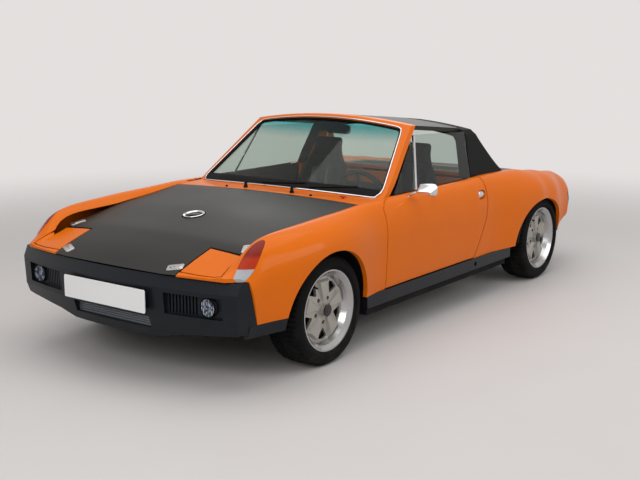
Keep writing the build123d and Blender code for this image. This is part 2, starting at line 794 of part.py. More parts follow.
def bumper_shape():
    """The outside of the front bumper: chin, crease, face, ridge and sloping top."""
    levels = [
        bumper_outline(BUMPER_BOTTOM_Z, NOSE_Y + 48, BUMPER_CORNER_X - 42, NOSE_Y + 132, BUMPER_END_X - 24),
        bumper_outline(BUMPER_CREASE_Z, NOSE_Y + 14, BUMPER_CORNER_X - 2, NOSE_Y + 114, BUMPER_END_X - 2),
        bumper_outline(BUMPER_RIDGE_Z, NOSE_Y, BUMPER_CORNER_X, NOSE_Y + 108, BUMPER_END_X + 1),
        bumper_outline(BUMPER_TOP_Z, NOSE_Y + 34, BUMPER_CORNER_X + 6, NOSE_Y + 138, BUMPER_END_X - 6),
    ]
    with BuildPart() as shape:
        add(levels)
        loft(ruled=True)
        ridge = shape.edges().filter_by_position(Axis.Z, BUMPER_RIDGE_Z - 1, BUMPER_RIDGE_Z + 1)
        fillet(ridge.filter_by(lambda edge: edge.center().Y < BUMPER_END_Y), 7)
    return shape.part


def bumper_hollow():
    """The inside of the front bumper, open behind, with room over it for the headlights."""
    half = [(0, BUMPER_BACK_Y), (410, BUMPER_BACK_Y), (700, -1850), (730, -1835), (730, -1700), (0, -1700)]
    with BuildPart() as hollow:
        with BuildSketch():
            with BuildLine():
                Polyline(*mirrored_outline(half), close=True)
            make_face()
        extrude(amount=FAR)
    inner_x, outer_x = LAMP_X - LAMP_RADIUS - 7, LAMP_X + LAMP_RADIUS + 7
    with BuildPart() as pocket:
        with BuildSketch(Plane.XY.offset(LAMP_POCKET_Z)):
            with BuildLine():
                Polyline((inner_x, BUMPER_END_Y), (inner_x, LAMP_POCKET_Y), (outer_x - 31, LAMP_POCKET_Y),
                         (outer_x, LAMP_POCKET_Y + 14), (outer_x, BUMPER_END_Y), close=True)
            make_face()
        extrude(amount=FAR)
    return carve([hollow.part, both_sides([pocket.part])])


def bumper_end_space():
    """The room behind the bumper's ends, along the slanted front edge of the fenders."""
    gap_y = BUMPER_END_Y - BUMPER_END_GAP
    return side_prism(
        [(gap_y, FAR), (gap_y, BUMPER_TOP_Z + 3), (gap_y + BUMPER_END_SLANT, VALANCE_TOP_Z),
         (BUMPER_END_Y, VALANCE_TOP_Z), (BUMPER_END_Y, 0), (-1500, 0), (-1500, FAR)],
        -FAR, FAR)


def chin_space():
    """The room under the chin, which rises from the lip to the corners."""
    return front_prism(
        mirrored_outline([(0, 0), (FAR, 0), (FAR, 300), (790, 297), (600, 281), (420, 262), (300, 233),
                          (0, 230)]),
        NOSE_Y - 100, -1600)


def grille_recess():
    """The recess of one side grille, its floor running back with the corner of the nose."""
    with BuildPart() as recess:
        with BuildSketch(Plane.XY.offset(GRILLE_Z[0])):
            with BuildLine():
                Polyline((GRILLE_X[0], NOSE_Y - 100), (GRILLE_X[0], GRILLE_FLOOR_Y[0]),
                         (GRILLE_X[1], GRILLE_FLOOR_Y[1]), (GRILLE_X[1], NOSE_Y - 100), close=True)
            make_face()
        extrude(amount=GRILLE_Z[1] - GRILLE_Z[0])
    return recess.part


def grille_slots():
    """The upright slots between the louvres of one side grille, cut into the recess floor."""
    run = Vector(GRILLE_X[1] - GRILLE_X[0], GRILLE_FLOOR_Y[1] - GRILLE_FLOOR_Y[0], 0).normalized()
    middle = Vector(GRILLE_X[0], GRILLE_FLOOR_Y[0], (GRILLE_Z[0] + GRILLE_Z[1]) / 2)
    middle += run * (GRILLE_SLOTS + 1) * SLOT_PITCH / 2
    floor = Plane(origin=middle, x_dir=run, z_dir=run.cross(Vector(0, 0, -1)))
    with BuildPart() as slots:
        with BuildSketch(floor):
            with GridLocations(SLOT_PITCH, 1, GRILLE_SLOTS, 1):
                Rectangle(SLOT_WIDTH, GRILLE_Z[1] - GRILLE_Z[0] - 14)
        extrude(amount=SLOT_DEPTH, both=True)
    return slots.part


def front_bumper():
    """The moulded front bumper: a ridge, side grilles with fog lamps, a plate plinth and a low inlet."""
    plinth = block((-PLATE_WIDTH / 2 + 22, PLATE_WIDTH / 2 - 22), (PLINTH_Y, NOSE_Y + 40),
                   (PLATE_Z - PLATE_HEIGHT / 2 + 14, PLATE_Z + PLATE_HEIGHT / 2 - 14))
    inlet = block((-INLET_HALF_WIDTH, INLET_HALF_WIDTH), (NOSE_Y - 50, -1700), INLET_Z)
    lamp_hole = round_bar(FOG_LAMP_RADIUS, (FOG_LAMP_X, NOSE_Y - 20, FOG_LAMP_Z),
                          (FOG_LAMP_X, -1800, FOG_LAMP_Z))
    return carve(
        [bumper_shape(), plinth],
        cuts=[bumper_hollow(), bumper_end_space(), chin_space(), inlet,
              both_sides([grille_recess()]), both_sides([grille_slots()]), both_sides([lamp_hole])],
    )


def fog_lamps():
    """The two round fog lamps in the side grilles."""
    lamp = round_bar(FOG_LAMP_RADIUS - SEAT_GAP, (FOG_LAMP_X, FOG_LAMP_FACE_Y, FOG_LAMP_Z),
                     (FOG_LAMP_X, FOG_LAMP_FACE_Y + FOG_LAMP_LENGTH, FOG_LAMP_Z))
    return both_sides([lamp])


def front_plate():
    """The blank number plate on its plinth."""
    with BuildPart() as plate:
        with BuildSketch(Plane.XZ.offset(-PLINTH_Y + SEAT_GAP)):
            with Locations((0, PLATE_Z)):
                RectangleRounded(PLATE_WIDTH, PLATE_HEIGHT, 8)
        extrude(amount=PLATE_THICKNESS)
    return plate.part


def oil_cooler():
    """The oil cooler in the low inlet, standing against the front tub."""
    half = INLET_HALF_WIDTH - SEAT_GAP
    return block((-half, half), (-1935, TUB_FRONT_Y), (INLET_Z[0] + SEAT_GAP, INLET_Z[1] - SEAT_GAP))


def front_tub():
    """The front luggage tub, open under the hood, which carries the front suspension."""
    profile = [(TUB_FRONT_Y, FRONT_TUB_FLOOR_Z), (FIREWALL_Y, FRONT_TUB_FLOOR_Z), (FIREWALL_Y, 719),
               (-1300, 664), (-1700, 600), (TUB_FRONT_Y, 536)]
    inside = block((-FRONT_TUB_HALF_WIDTH + TUB_WALL, FRONT_TUB_HALF_WIDTH - TUB_WALL),
                   (TUB_FRONT_Y + TUB_WALL, FIREWALL_Y - TUB_WALL),
                   (FRONT_TUB_FLOOR_Z + TUB_WALL, 900))
    mounts = [block((side * 400 - 30, side * 400 + 30), (FRONT_AXLE_Y - 40, FRONT_AXLE_Y + 60), (170, 262))
              for side in (-1, 1)]
    hollow = carve([side_prism(profile, -FRONT_TUB_HALF_WIDTH, FRONT_TUB_HALF_WIDTH)], cuts=[inside])
    return carve([hollow] + mounts)


def liner(axle_y, radius, inner_x):
    """A wheelhouse liner: the arc over the wheel, trimmed to the inside of the skin."""
    with BuildPart() as house:
        with BuildSketch(Plane.YZ.offset(inner_x)):
            with Locations((axle_y, AXLE_Z)):
                Circle(radius + LINER)
                Circle(radius, mode=Mode.SUBTRACT)
        extrude(amount=900 - inner_x)
    below = block((0, FAR), (-FAR * 3, FAR * 3), (0, DOOR_BOTTOM_Z))
    return largest(carve([house.part], keep=[half_hull(SKIN + 1)], cuts=[below]))


def floor_pan():
    """The floor with its tunnel, rockers, firewall and rear bulkhead."""
    rear = BULKHEAD_Y + BULKHEAD
    pieces = [
        block((-ROCKER_INNER_X, ROCKER_INNER_X), (FIREWALL_Y, rear), (FLOOR_Z, FLOOR_Z + FLOOR_THICKNESS)),
        block((-TUNNEL_WIDTH / 2, TUNNEL_WIDTH / 2), (FIREWALL_Y, rear), (FLOOR_Z, TUNNEL_TOP_Z)),
        block((-620, 620), (FIREWALL_Y + SEAT_GAP, FIREWALL_Y + 20), (FLOOR_Z, 730)),
        block((-640, 640), (BULKHEAD_Y, rear), (FLOOR_Z, 740)),
    ]
    for side in (-1, 1):
        x = sorted((side * ROCKER_INNER_X, side * ROCKER_OUTER_X))
        pieces.append(block(x, (-845, 795), (FLOOR_Z + 10, DOOR_BOTTOM_Z - SHUT_GAP - SEAT_GAP)))
    return carve(pieces)


def sill_cover():
    """The black cover along the rocker, with the hole in front of the jack socket."""
    cover = block((ROCKER_OUTER_X, SILL_COVER_OUTER_X), (-880, 810),
                  (SILL_COVER_BOTTOM_Z, DOOR_BOTTOM_Z - SHUT_GAP - SEAT_GAP))
    return carve([cover], cuts=[round_bar(JACK_RADIUS, (ROCKER_OUTER_X - 5, JACK_Y, JACK_Z),
                                          (SILL_COVER_OUTER_X + 5, JACK_Y, JACK_Z))])


def front_valance():
    """The black valance side under the front fender."""
    zone = block((690, FAR), (BUMPER_END_Y + SEAT_GAP, -1500), (VALANCE_BOTTOM_Z, VALANCE_TOP_Z - SEAT_GAP))
    return largest(carve([SHELL], keep=[zone, bumper_space()], cuts=[arch_prism(FRONT_ARCH, 600, 900)]))


def rear_bumper():
    """The moulded rear bumper, wrapped round the corners of the tail."""
    levels = []
    for z, out in ((REAR_BUMPER_BOTTOM_Z, 24), (REAR_BUMPER_BOTTOM_Z + 75, 42), (REAR_BUMPER_TOP_Z, 22)):
        with BuildSketch(Plane.XY.offset(z)) as level:
            with BuildLine():
                rear = TAIL_FACE_Y + out
                ThreePointArc((-702, rear - 52), (0, rear), (702, rear - 52))
                Polyline((702, rear - 52), (738, rear - 110), (758, REAR_BUMPER_START_Y),
                         (-758, REAR_BUMPER_START_Y), (-738, rear - 110), (-702, rear - 52))
            make_face()
        levels.append(level.sketch)
    with BuildPart() as bumper:
        add(levels)
        loft(ruled=True)
    return carve([bumper.part], cuts=[block((-690, 690), (1500, REAR_BUMPER_INNER_Y), (0, FAR))])


def rear_valance():
    """The panel under the rear bumper."""
    return block((-640, 640), (1905, 1925), (330, REAR_BUMPER_BOTTOM_Z - SEAT_GAP))


def rear_tub():
    """The rear luggage tub under the trunk lid."""
    rear = REAR_BUMPER_INNER_Y - SEAT_GAP
    profile = [(1040, 450), (rear, 470), (rear, 560), (1500, 660), (1040, 720)]
    inside = block((-535, 535), (1050, rear - TUB_WALL), (480, 900))
    return carve([side_prism(profile, -545, 545)], cuts=[inside])


def engine():
    """The engine and gearbox as one plain mass behind the bulkhead."""
    front = BULKHEAD_Y + BULKHEAD + SEAT_GAP
    with BuildPart() as mass:
        add([block((-370, 370), (front, 1030), (185, 470)), block((-150, 150), (1030, 1500), (190, 400))])
        chamfer(mass.edges().filter_by(Axis.Y), 25)
    return mass.part


def rear_axle():
    """Trailing arms, drive shafts and stub axles of the rear wheels."""
    bars = []
    for side in (-1, 1):
        bars += [
            round_bar(30, (side * 385, 830, 225), (side * 610, 830, 225)),
            round_bar(32, (side * 480, 830, 225), (side * 585, REAR_AXLE_Y, AXLE_Z)),
            round_bar(22, (side * 151, REAR_AXLE_Y, AXLE_Z - 8), (side * 560, REAR_AXLE_Y, AXLE_Z)),
            round_bar(48, (side * 545, REAR_AXLE_Y, AXLE_Z), (side * 640, REAR_AXLE_Y, AXLE_Z)),
            round_bar(18, (side * 600, REAR_AXLE_Y, AXLE_Z), (side * 750, REAR_AXLE_Y, AXLE_Z)),
        ]
    return carve(bars)


def exhaust():
    """The muffler across the tail with its two tail pipes."""
    pipes = [round_bar(24, (side * 250, 1740, 240), (side * 250, 1935, 236)) for side in (-1, 1)]
    tips = [round_bar(TIP_RADIUS, (side * 250, 1925, 236), (side * 250, 1990, 235)) for side in (-1, 1)]
    bores = [round_bar(TIP_RADIUS - 3, (side * 250, 1940, 236), (side * 250, 2000, 235)) for side in (-1, 1)]
    hangers = [round_bar(8, (side * 250, 1740, 340), (side * 250, 1740, 465.8)) for side in (-1, 1)]
    muffler = round_bar(80, (-330, 1740, 285), (330, 1740, 285))
    return carve([muffler] + pipes + tips + hangers, cuts=bores)


def knuckle():
    """A front knuckle: strut on the kingpin line, stub axle, ball joint and steering arm."""
    low = Vector(*BALL_JOINT)
    top = Vector(*STRUT_TOP)
    middle = (low + (top - low) * ((AXLE_Z - low.Z) / (top.Z - low.Z))).X
    return carve([
        round_bar(STRUT_RADIUS, BALL_JOINT, STRUT_TOP),
        round_bar(44, (middle - 25, FRONT_AXLE_Y, AXLE_Z), (middle + 42, FRONT_AXLE_Y, AXLE_Z)),
        round_bar(18, (middle, FRONT_AXLE_Y, AXLE_Z), (FRONT_WHEEL_FACE_X - 80, FRONT_AXLE_Y, AXLE_Z)),
        round_bar(14, (middle - 5, FRONT_AXLE_Y, 235), (middle - 45, FRONT_AXLE_Y + 130, 235)),
    ])


def lower_arms():
    """The two front lower arms, from the tub to the ball joints."""
    bars = []
    for side in (-1, 1):
        bars += [
            round_bar(16, (side * 434.6, FRONT_AXLE_Y + 10, 200), (side * 632, FRONT_AXLE_Y, 147)),
            round_bar(20, (side * 640, FRONT_AXLE_Y, 136), (side * 640, FRONT_AXLE_Y, 171.5)),
        ]
    return carve(bars)


def wheel_profile():
    """The rim, disc, hub and brake disc in section, as (distance in from the face, radius) points."""
    return [
        (0, RIM_RADIUS), (0, RIM_RADIUS - RIM_WALL), (20, BEAD_RADIUS - RIM_WALL), (50, WELL_RADIUS),
        (46, 120), (40, 60), (40, CAP_RADIUS), (18, CAP_RADIUS - 3), (14, 0),
        (HUB_BACK, 0), (HUB_BACK, 22), (110, 24),
        (110, DISC_RADIUS), (98, DISC_RADIUS), (98, 60), (68, 60), (70, WELL_RADIUS - 22),
        (84, WELL_RADIUS - RIM_WALL), (140, WELL_RADIUS - RIM_WALL), (160, BEAD_RADIUS - RIM_WALL),
        (RIM_WIDTH - 8, BEAD_RADIUS - RIM_WALL), (RIM_WIDTH, RIM_RADIUS),
        (RIM_WIDTH - 10, RIM_RADIUS), (RIM_WIDTH - 14, BEAD_RADIUS), (150, BEAD_RADIUS), (132, WELL_RADIUS),
        (70, WELL_RADIUS), (50, BEAD_RADIUS), (16, BEAD_RADIUS), (10, RIM_RADIUS),
    ]


def leaves(face_x, axle_y):
    """The five raised leaves of the wheel, narrow at the hub and spreading towards the rim."""
    with BuildSketch() as leaf:
        with BuildLine():
            upper = ThreePointArc((40, 20), (100, 32), (158, 52))
            lower = ThreePointArc((158, -52), (100, -32), (40, -20))
            Line(upper @ 1, lower @ 0)
            Line(lower @ 1, upper @ 0)
        make_face()
    with BuildPart() as raised:
        with BuildSketch(Plane.YZ.offset(face_x - LEAF_BACK)):
            with Locations((axle_y, AXLE_Z)):
                with PolarLocations(0, SPOKES, start_angle=90):
                    add(leaf.sketch)
        extrude(amount=LEAF_HEIGHT, taper=25)
    return raised.part


def wheel(face_x, axle_y):
    """A five-leaf wheel with its hub and brake disc, about its axle line."""
    between = 90 + 180 / SPOKES
    with BuildPart() as rim:
        with BuildSketch(Plane.XY.offset(AXLE_Z)):
            with BuildLine():
                Polyline(*[(face_x - inboard, axle_y + radius) for inboard, radius in wheel_profile()],
                         close=True)
            make_face()
        revolve(axis=Axis((0, axle_y, AXLE_Z), (1, 0, 0)))
        add(leaves(face_x, axle_y))
        with BuildSketch(Plane.YZ.offset(face_x - 94)) as windows:
            with Locations((axle_y, AXLE_Z)):
                with PolarLocations(0, SPOKES, start_angle=between):
                    Polygon((92, 0), (148, -40), (159, 0), (148, 40), align=None)
            fillet(windows.vertices(), 6)
            with Locations((axle_y, AXLE_Z)):
                with PolarLocations(LUG_CIRCLE_RADIUS, SPOKES, start_angle=between):
                    Circle(LUG_HOLE_RADIUS)
        extrude(amount=92, mode=Mode.SUBTRACT)
        with BuildSketch(Plane.YZ.offset(face_x - HUB_BACK)):
            with Locations((axle_y, AXLE_Z)):
                Circle(STUB_RADIUS)
        extrude(amount=70, mode=Mode.SUBTRACT)
    return rim.part


def tyre(face_x, axle_y):
    """A tyre with an open inside, seated on the rim's beads."""
    middle = face_x - RIM_WIDTH / 2
    half = TYRE_WIDTH / 2
    bead = BEAD_RADIUS + SEAT_GAP
    seat = RIM_WIDTH / 2 - 17
    with BuildPart() as ring:
        with BuildSketch(Plane.XY.offset(AXLE_Z)):
            with BuildLine():
                Polyline(
                    (middle - seat, axle_y + bead), (middle - seat, axle_y + bead + 16),
                    (middle - half - TYRE_BULGE, axle_y + 235), (middle - half + 4, axle_y + 272),
                    (middle - half + 22, axle_y + 285), (middle, axle_y + TYRE_RADIUS),
                    (middle + half - 22, axle_y + 285), (middle + half - 4, axle_y + 272),
                    (middle + half + TYRE_BULGE, axle_y + 235), (middle + seat, axle_y + bead + 16),
                    (middle + seat, axle_y + bead), (middle + seat - TYRE_WALL, axle_y + bead),
                    (middle + half - TYRE_WALL, axle_y + 236), (middle + half - 30, axle_y + 270),
                    (middle - half + 30, axle_y + 270), (middle - half + TYRE_WALL, axle_y + 236),
                    (middle - seat + TYRE_WALL, axle_y + bead), close=True)
            make_face()
        revolve(axis=Axis((0, axle_y, AXLE_Z), (1, 0, 0)))
    return ring.part


def seats():
    """Two high-backed bucket seats."""
    base = FLOOR_Z + FLOOR_THICKNESS + SEAT_GAP
    profile = [(-260, base), (-300, 330), (-270, 372), (60, 322), (110, 345), (255, 830), (300, 1010),
               (350, 1015), (372, 990), (300, 700), (210, 330), (150, base)]
    return carve([side_prism(profile, x - 215, x + 215) for x in (-SEAT_X, SEAT_X)])


def dashboard():
    """The dashboard with the steering column."""
    front = FIREWALL_Y + 20 + SEAT_GAP
    profile = [(front, 560), (front, 700), (-740, 728), (-600, 736), (-555, 748), (-480, 738), (-440, 700),
               (-470, 590), (-560, 540)]
    tilt = radians(COLUMN_TILT)
    centre = Vector(*STEERING_WHEEL_CENTRE)
    along = Vector(0, -cos(tilt), -sin(tilt))
    column = round_bar(32, tuple(centre + along * 42), tuple(centre + along * 260))
    return carve([side_prism(profile, -640, 640), column])


def steering_wheel():
    """The three-spoke steering wheel."""
    tilt = radians(COLUMN_TILT)
    plane = Plane(origin=STEERING_WHEEL_CENTRE, x_dir=(1, 0, 0), z_dir=(0, cos(tilt), sin(tilt)))
    with BuildPart() as wheel_part:
        with BuildSketch(Plane(origin=plane.origin, x_dir=plane.x_dir, z_dir=-plane.y_dir)):
            with Locations((STEERING_WHEEL_RADIUS - 14, 0)):
                Circle(14)
        revolve(axis=Axis(plane.origin, plane.z_dir))
        with BuildSketch(plane.offset(-14)):
            Circle(34)
            for angle in (90, 210, 330):
                with Locations(Location((0, 0), angle + 180)):
                    Rectangle(STEERING_WHEEL_RADIUS - 16, 26, align=(Align.MIN, Align.CENTER))
        extrude(amount=10)
        with BuildSketch(plane.offset(-36)):
            Circle(34)
        extrude(amount=30)
    return wheel_part.part


def mirror_left():
    """The driver's mirror on its stalk at the front of the door's belt."""
    with BuildPart() as head:
        with BuildSketch(Plane.XZ.offset(405)):
            with Locations((838, 808)):
                RectangleRounded(100, 60, 18)
        with BuildSketch(Plane.XZ.offset(345)):
            with Locations((838, 808)):
                RectangleRounded(134, 82, 18)
        loft()
    return carve([head.part, round_bar(8, (730, -404, 752), (830, -376, 800))], cuts=[OUTER])


def wipers():
    """Two wiper arms with their blades, parked towards the driver's side."""
    bars = []
    for x, y, tip in ((-170, -742, (190, -700, 832)), (185, -752, (520, -665, 832))):
        bars += [round_bar(9, (x, y, 768), (x, y, 812)), round_bar(5, (x, y, 808), tip)]
    return carve(bars, cuts=[OUTER, MIRRORED_OUTER])


def rear_window(hoop):
    """The upright rear window between the sail panels."""
    return largest(carve([block((-535, 535), (572, 578), (BELT_Z + 10, 1056))], cuts=[hoop]))


def headlight():
    """A pop-up headlight: the body-coloured cover and the round lamp under it."""
    below = block((0, FAR), (-FAR * 3, FAR), (0, BUMPER_TOP_Z + LID_GAP))
    behind = block((0, FAR), (COVER_HINGE[0] - 3, FAR), (0, FAR))
    cover = largest(carve([SHELL], keep=[panel_prism(COVER_PLANE, COVER_OUTLINE)], cuts=[below, behind]))
    back_y, back_z = LAMP_BACK
    reach = LAMP_DEPTH * cos(radians(45))
    lamp = round_bar(LAMP_RADIUS, (LAMP_X, back_y, back_z), (LAMP_X, back_y - reach, back_z - reach))
    bracket = block((LAMP_X - 18, LAMP_X + 18), (back_y + 5, back_y + 35), (back_z - 20, 602))
    return carve([cover, lamp, bracket])


write(hood(), "hood")
write(filler(), "fuel_filler")
write_pair(front_fender(), "front_fender")
write(cowl(), "cowl")
write_pair(rear_quarter(), "rear_quarter")
write(both_sides([turn_signal()]), "turn_signals")
write(both_sides([tail_lamp()]), "tail_lamps")
write(tail_panel(), "tail_panel")
write(deck_strips(), "deck_strips")
write_pair(door(), "door")
write_pair(Compound(children=[door_glass(), quarter_glass()]), "door_glass")
write_pair(divider(), "glass_divider")
write(windscreen_frame(), "windscreen_frame")
write(windscreen(), "windscreen")
write(roof_panel(), "roof_panel")
HOOP = roll_hoop()
write(HOOP, "roll_hoop")
write(rear_window(HOOP), "rear_window")
write(centre_panel(TRUNK_PLANE, TRUNK_OUTLINE), "trunk_lid")
write(engine_lid(), "engine_lid")
write_pair(headlight(), "headlight")
write(front_bumper(), "front_bumper")
write(fog_lamps(), "fog_lamps")
write(front_plate(), "front_plate")
write(oil_cooler(), "oil_cooler")
write(front_tub(), "front_tub")
write(floor_pan(), "floor_pan")
write(both_sides([sill_cover()]), "sill_covers")
write(both_sides([front_valance()]), "front_valances")
write(both_sides([
    liner(FRONT_AXLE_Y, FRONT_HOUSE_RADIUS, FRONT_TUB_HALF_WIDTH + SEAT_GAP),
    liner(REAR_AXLE_Y, REAR_HOUSE_RADIUS, 560),
]), "wheelhouses")
write(rear_bumper(), "rear_bumper")
write(rear_valance(), "rear_valance")
write(rear_tub(), "rear_tub")
write(engine(), "engine")
write(rear_axle(), "rear_axle")
write(exhaust(), "exhaust")
write_pair(knuckle(), "knuckle")
write(lower_arms(), "lower_arms")
write_pair(wheel(FRONT_WHEEL_FACE_X, FRONT_AXLE_Y), "wheel_front")
write_pair(wheel(REAR_WHEEL_FACE_X, REAR_AXLE_Y), "wheel_rear")
write_pair(tyre(FRONT_WHEEL_FACE_X, FRONT_AXLE_Y), "tyre_front")
write_pair(tyre(REAR_WHEEL_FACE_X, REAR_AXLE_Y), "tyre_rear")
write(seats(), "seats")
write(dashboard(), "dashboard")
write(steering_wheel(), "steering_wheel")
write(mirror_left(), "mirror")
write(wipers(), "wipers")
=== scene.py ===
"""Looks for a mid-engine sports car: finishes, detail pieces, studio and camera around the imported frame."""

import json
import logging
import math
from dataclasses import dataclass
from enum import Enum, StrEnum
from typing import Callable, NamedTuple, Optional, Sequence, Union

import bmesh
import bpy
import numpy as np
from mathutils import Matrix, Vector


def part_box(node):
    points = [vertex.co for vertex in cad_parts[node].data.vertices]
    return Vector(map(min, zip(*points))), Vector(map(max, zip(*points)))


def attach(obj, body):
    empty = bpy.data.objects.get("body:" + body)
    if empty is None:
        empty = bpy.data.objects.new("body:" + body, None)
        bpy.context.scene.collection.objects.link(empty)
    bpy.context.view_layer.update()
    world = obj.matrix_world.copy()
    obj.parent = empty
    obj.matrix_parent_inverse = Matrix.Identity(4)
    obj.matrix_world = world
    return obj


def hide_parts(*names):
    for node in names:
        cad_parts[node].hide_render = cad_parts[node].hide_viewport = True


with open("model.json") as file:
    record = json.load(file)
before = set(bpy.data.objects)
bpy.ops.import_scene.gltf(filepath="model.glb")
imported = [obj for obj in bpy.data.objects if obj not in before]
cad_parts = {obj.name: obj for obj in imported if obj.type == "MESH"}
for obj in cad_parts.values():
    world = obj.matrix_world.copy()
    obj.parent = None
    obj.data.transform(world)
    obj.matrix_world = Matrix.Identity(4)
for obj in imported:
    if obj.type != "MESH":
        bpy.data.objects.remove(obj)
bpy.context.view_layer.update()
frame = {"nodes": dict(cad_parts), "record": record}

logging.basicConfig(level=logging.INFO, format="%(message)s")
LOG = logging.getLogger("scene")

Pair = tuple[float, float]
Point = tuple[float, float, float]
Colour = tuple[float, float, float]
Hit = tuple[Vector, Vector]
Socket = bpy.types.NodeSocket
Value = Union[float, Socket]
Tint = Union[Colour, Socket]

NODES = frame["nodes"]
X, Y, Z = Vector((1, 0, 0)), Vector((0, 1, 0)), Vector((0, 0, 1))


class Side(StrEnum):
    """A side of the car, as its driver names it."""

    LEFT = "left"
    RIGHT = "right"

    @property
    def sign(self) -> float:
        """Which way it lies along X."""
        return 1.0 if self is Side.LEFT else -1.0


class End(StrEnum):
    """An end of the car."""

    FRONT = "front"
    REAR = "rear"


# --- Node trees


def rgba(colour: Tint) -> Union[tuple, Socket]:
    """A colour with its alpha, or a socket as it is."""
    return colour if isinstance(colour, Socket) else (*colour, 1)


class Graph:
    """A node tree, with short ways to add and join its nodes."""

    def __init__(self, tree: bpy.types.NodeTree) -> None:
        """Keep the tree and its main shader, if it has one."""
        self.tree = tree
        self.shader = tree.nodes.get("Principled BSDF")

    def feed(self, node: bpy.types.Node, inputs: dict) -> bpy.types.Node:
        """Set or link a node's inputs.

        Args:
            node: The node.
            inputs: Input name or index mapped to a value or to an output socket.

        Returns:
            The node itself.
        """
        for key, value in inputs.items():
            if isinstance(value, Socket):
                self.tree.links.new(value, node.inputs[key])
            else:
                node.inputs[key].default_value = value
        return node

    def add(self, kind: str, inputs: Optional[dict] = None, **settings: object) -> bpy.types.Node:
        """Add a node.

        Args:
            kind: The node's type name without its "ShaderNode", such as "Bump".
            inputs: Input name or index mapped to a value or to an output socket.
            **settings: Properties of the node itself.

        Returns:
            The new node.
        """
        node = self.tree.nodes.new(kind if kind.startswith("NodeGroup") else f"ShaderNode{kind}")
        for key, value in settings.items():
            setattr(node, key, value)
        return self.feed(node, inputs or {})

    def math(self, operation: str, *values: Value, clamp: bool = False) -> Socket:
        """The result of a Math node, such as "ADD", kept from 0 to 1 if asked."""
        return self.add("Math", dict(enumerate(values)), operation=operation, use_clamp=clamp).outputs[0]

    def times(self, first: Value, second: Value, clamp: bool = False) -> Socket:
        """The product of two values."""
        return self.math("MULTIPLY", first, second, clamp=clamp)

    def vector(self, operation: str, inputs: dict, output: int = 0) -> Socket:
        """The result of a Vector Math node, such as "SCALE"."""
        return self.add("VectorMath", inputs, operation=operation).outputs[output]

    def mix(self, factor: Value, first: Tint, second: Tint) -> Socket:
        """Two colours mixed: the first where the factor is 0, the second where it is 1."""
        return self.add("Mix", {0: factor, 6: rgba(first), 7: rgba(second)}, data_type="RGBA").outputs[2]

    def ramp(self, factor: Value, low: float, high: float) -> Socket:
        """A value that runs smoothly from 0 where the factor is low to 1 where it is high."""
        return self.add("MapRange", {0: factor, 1: low, 2: high}, interpolation_type="SMOOTHSTEP").outputs[0]

    def remap(self, factor: Value, low: float, high: float, start: float = 0.0, end: float = 1.0) -> Socket:
        """A value that runs straight from low to high while the factor runs from start to end."""
        return self.add("MapRange", {0: factor, 1: start, 2: end, 3: low, 4: high}).outputs[0]

    def place(self) -> Socket:
        """Object coordinates."""
        return self.add("TexCoord").outputs["Object"]

    def xyz(self, vector: Socket) -> Sequence[Socket]:
        """The three parts of a vector."""
        return self.add("SeparateXYZ", {0: vector}).outputs

    def noise(self, place: Socket, scale: Value, detail: float = 2.0) -> Socket:
        """Cloudy noise from 0 to 1."""
        return self.add("TexNoise", {"Vector": place, "Scale": scale, "Detail": detail}).outputs[0]

    def bump(self, height: Socket, strength: float, distance: float = 0.002) -> Socket:
        """A normal bent by a height."""
        return self.add("Bump", {"Height": height, "Strength": strength, "Distance": distance}).outputs[0]

    def effect(self, name: str, place: Socket, **amounts: float) -> Sequence[Socket]:
        """The outputs of a shared node group."""
        return self.add("Group", {"Vector": place, **amounts}, node_tree=effect_group(name)).outputs

    def blend(self, factor: Value, first: bpy.types.Node, second: bpy.types.Node) -> None:
        """Show one shader where the factor is 0 and another where it is 1.

        Args:
            factor: The factor.
            first: The first shader.
            second: The second shader.
        """
        mixed = self.add("MixShader", {0: factor, 1: first.outputs[0], 2: second.outputs[0]})
        out = next(node for node in self.tree.nodes if node.type.startswith("OUTPUT"))
        self.feed(out, {"Surface": mixed.outputs[0]})


def grain(graph: Graph, given: Sequence[Socket]) -> list[Socket]:
    """The pebbled grain of vinyl, leather and moulded plastic, as a height and a mask.

    Args:
        graph: The group's graph.
        given: The group's inputs.

    Returns:
        One socket for each output.
    """
    cells = graph.add("TexVoronoi", {"Vector": given[0], "Scale": given[1]}, feature="DISTANCE_TO_EDGE")
    pebble = graph.ramp(cells.outputs["Distance"], 0.0, 0.35)
    fine = graph.times(graph.noise(given[0], given[1], 4.0), 0.5)
    return [graph.math("ADD", graph.times(pebble, given[2]), fine), pebble]


def weave(graph: Graph, given: Sequence[Socket]) -> list[Socket]:
    """The over-and-under weave of seat cloth, as a height and a mask.

    Args:
        graph: The group's graph.
        given: The group's inputs.

    Returns:
        One socket for each output.
    """
    x, y, z = graph.xyz(graph.vector("SCALE", {0: given[0], 3: given[1]}))
    across = graph.math("SINE", graph.math("ADD", x, y))
    woven = graph.times(across, graph.math("SINE", graph.math("SUBTRACT", z, y)))
    return [woven, graph.ramp(woven, -0.6, 0.6)]


def dust(graph: Graph, given: Sequence[Socket]) -> list[Socket]:
    """Fine dust and road film that gathers low down, as a mask.

    Args:
        graph: The group's graph.
        given: The group's inputs.

    Returns:
        One socket for each output.
    """
    noise = graph.add("TexNoise", {"Vector": given[0], "Scale": 9.0, "Detail": 8.0, "Roughness": 0.62})
    low = graph.ramp(graph.xyz(given[0])[2], 0.55, 0.05)
    return [graph.times(graph.times(low, graph.ramp(noise.outputs[0], 0.42, 0.72)), given[1], clamp=True)]


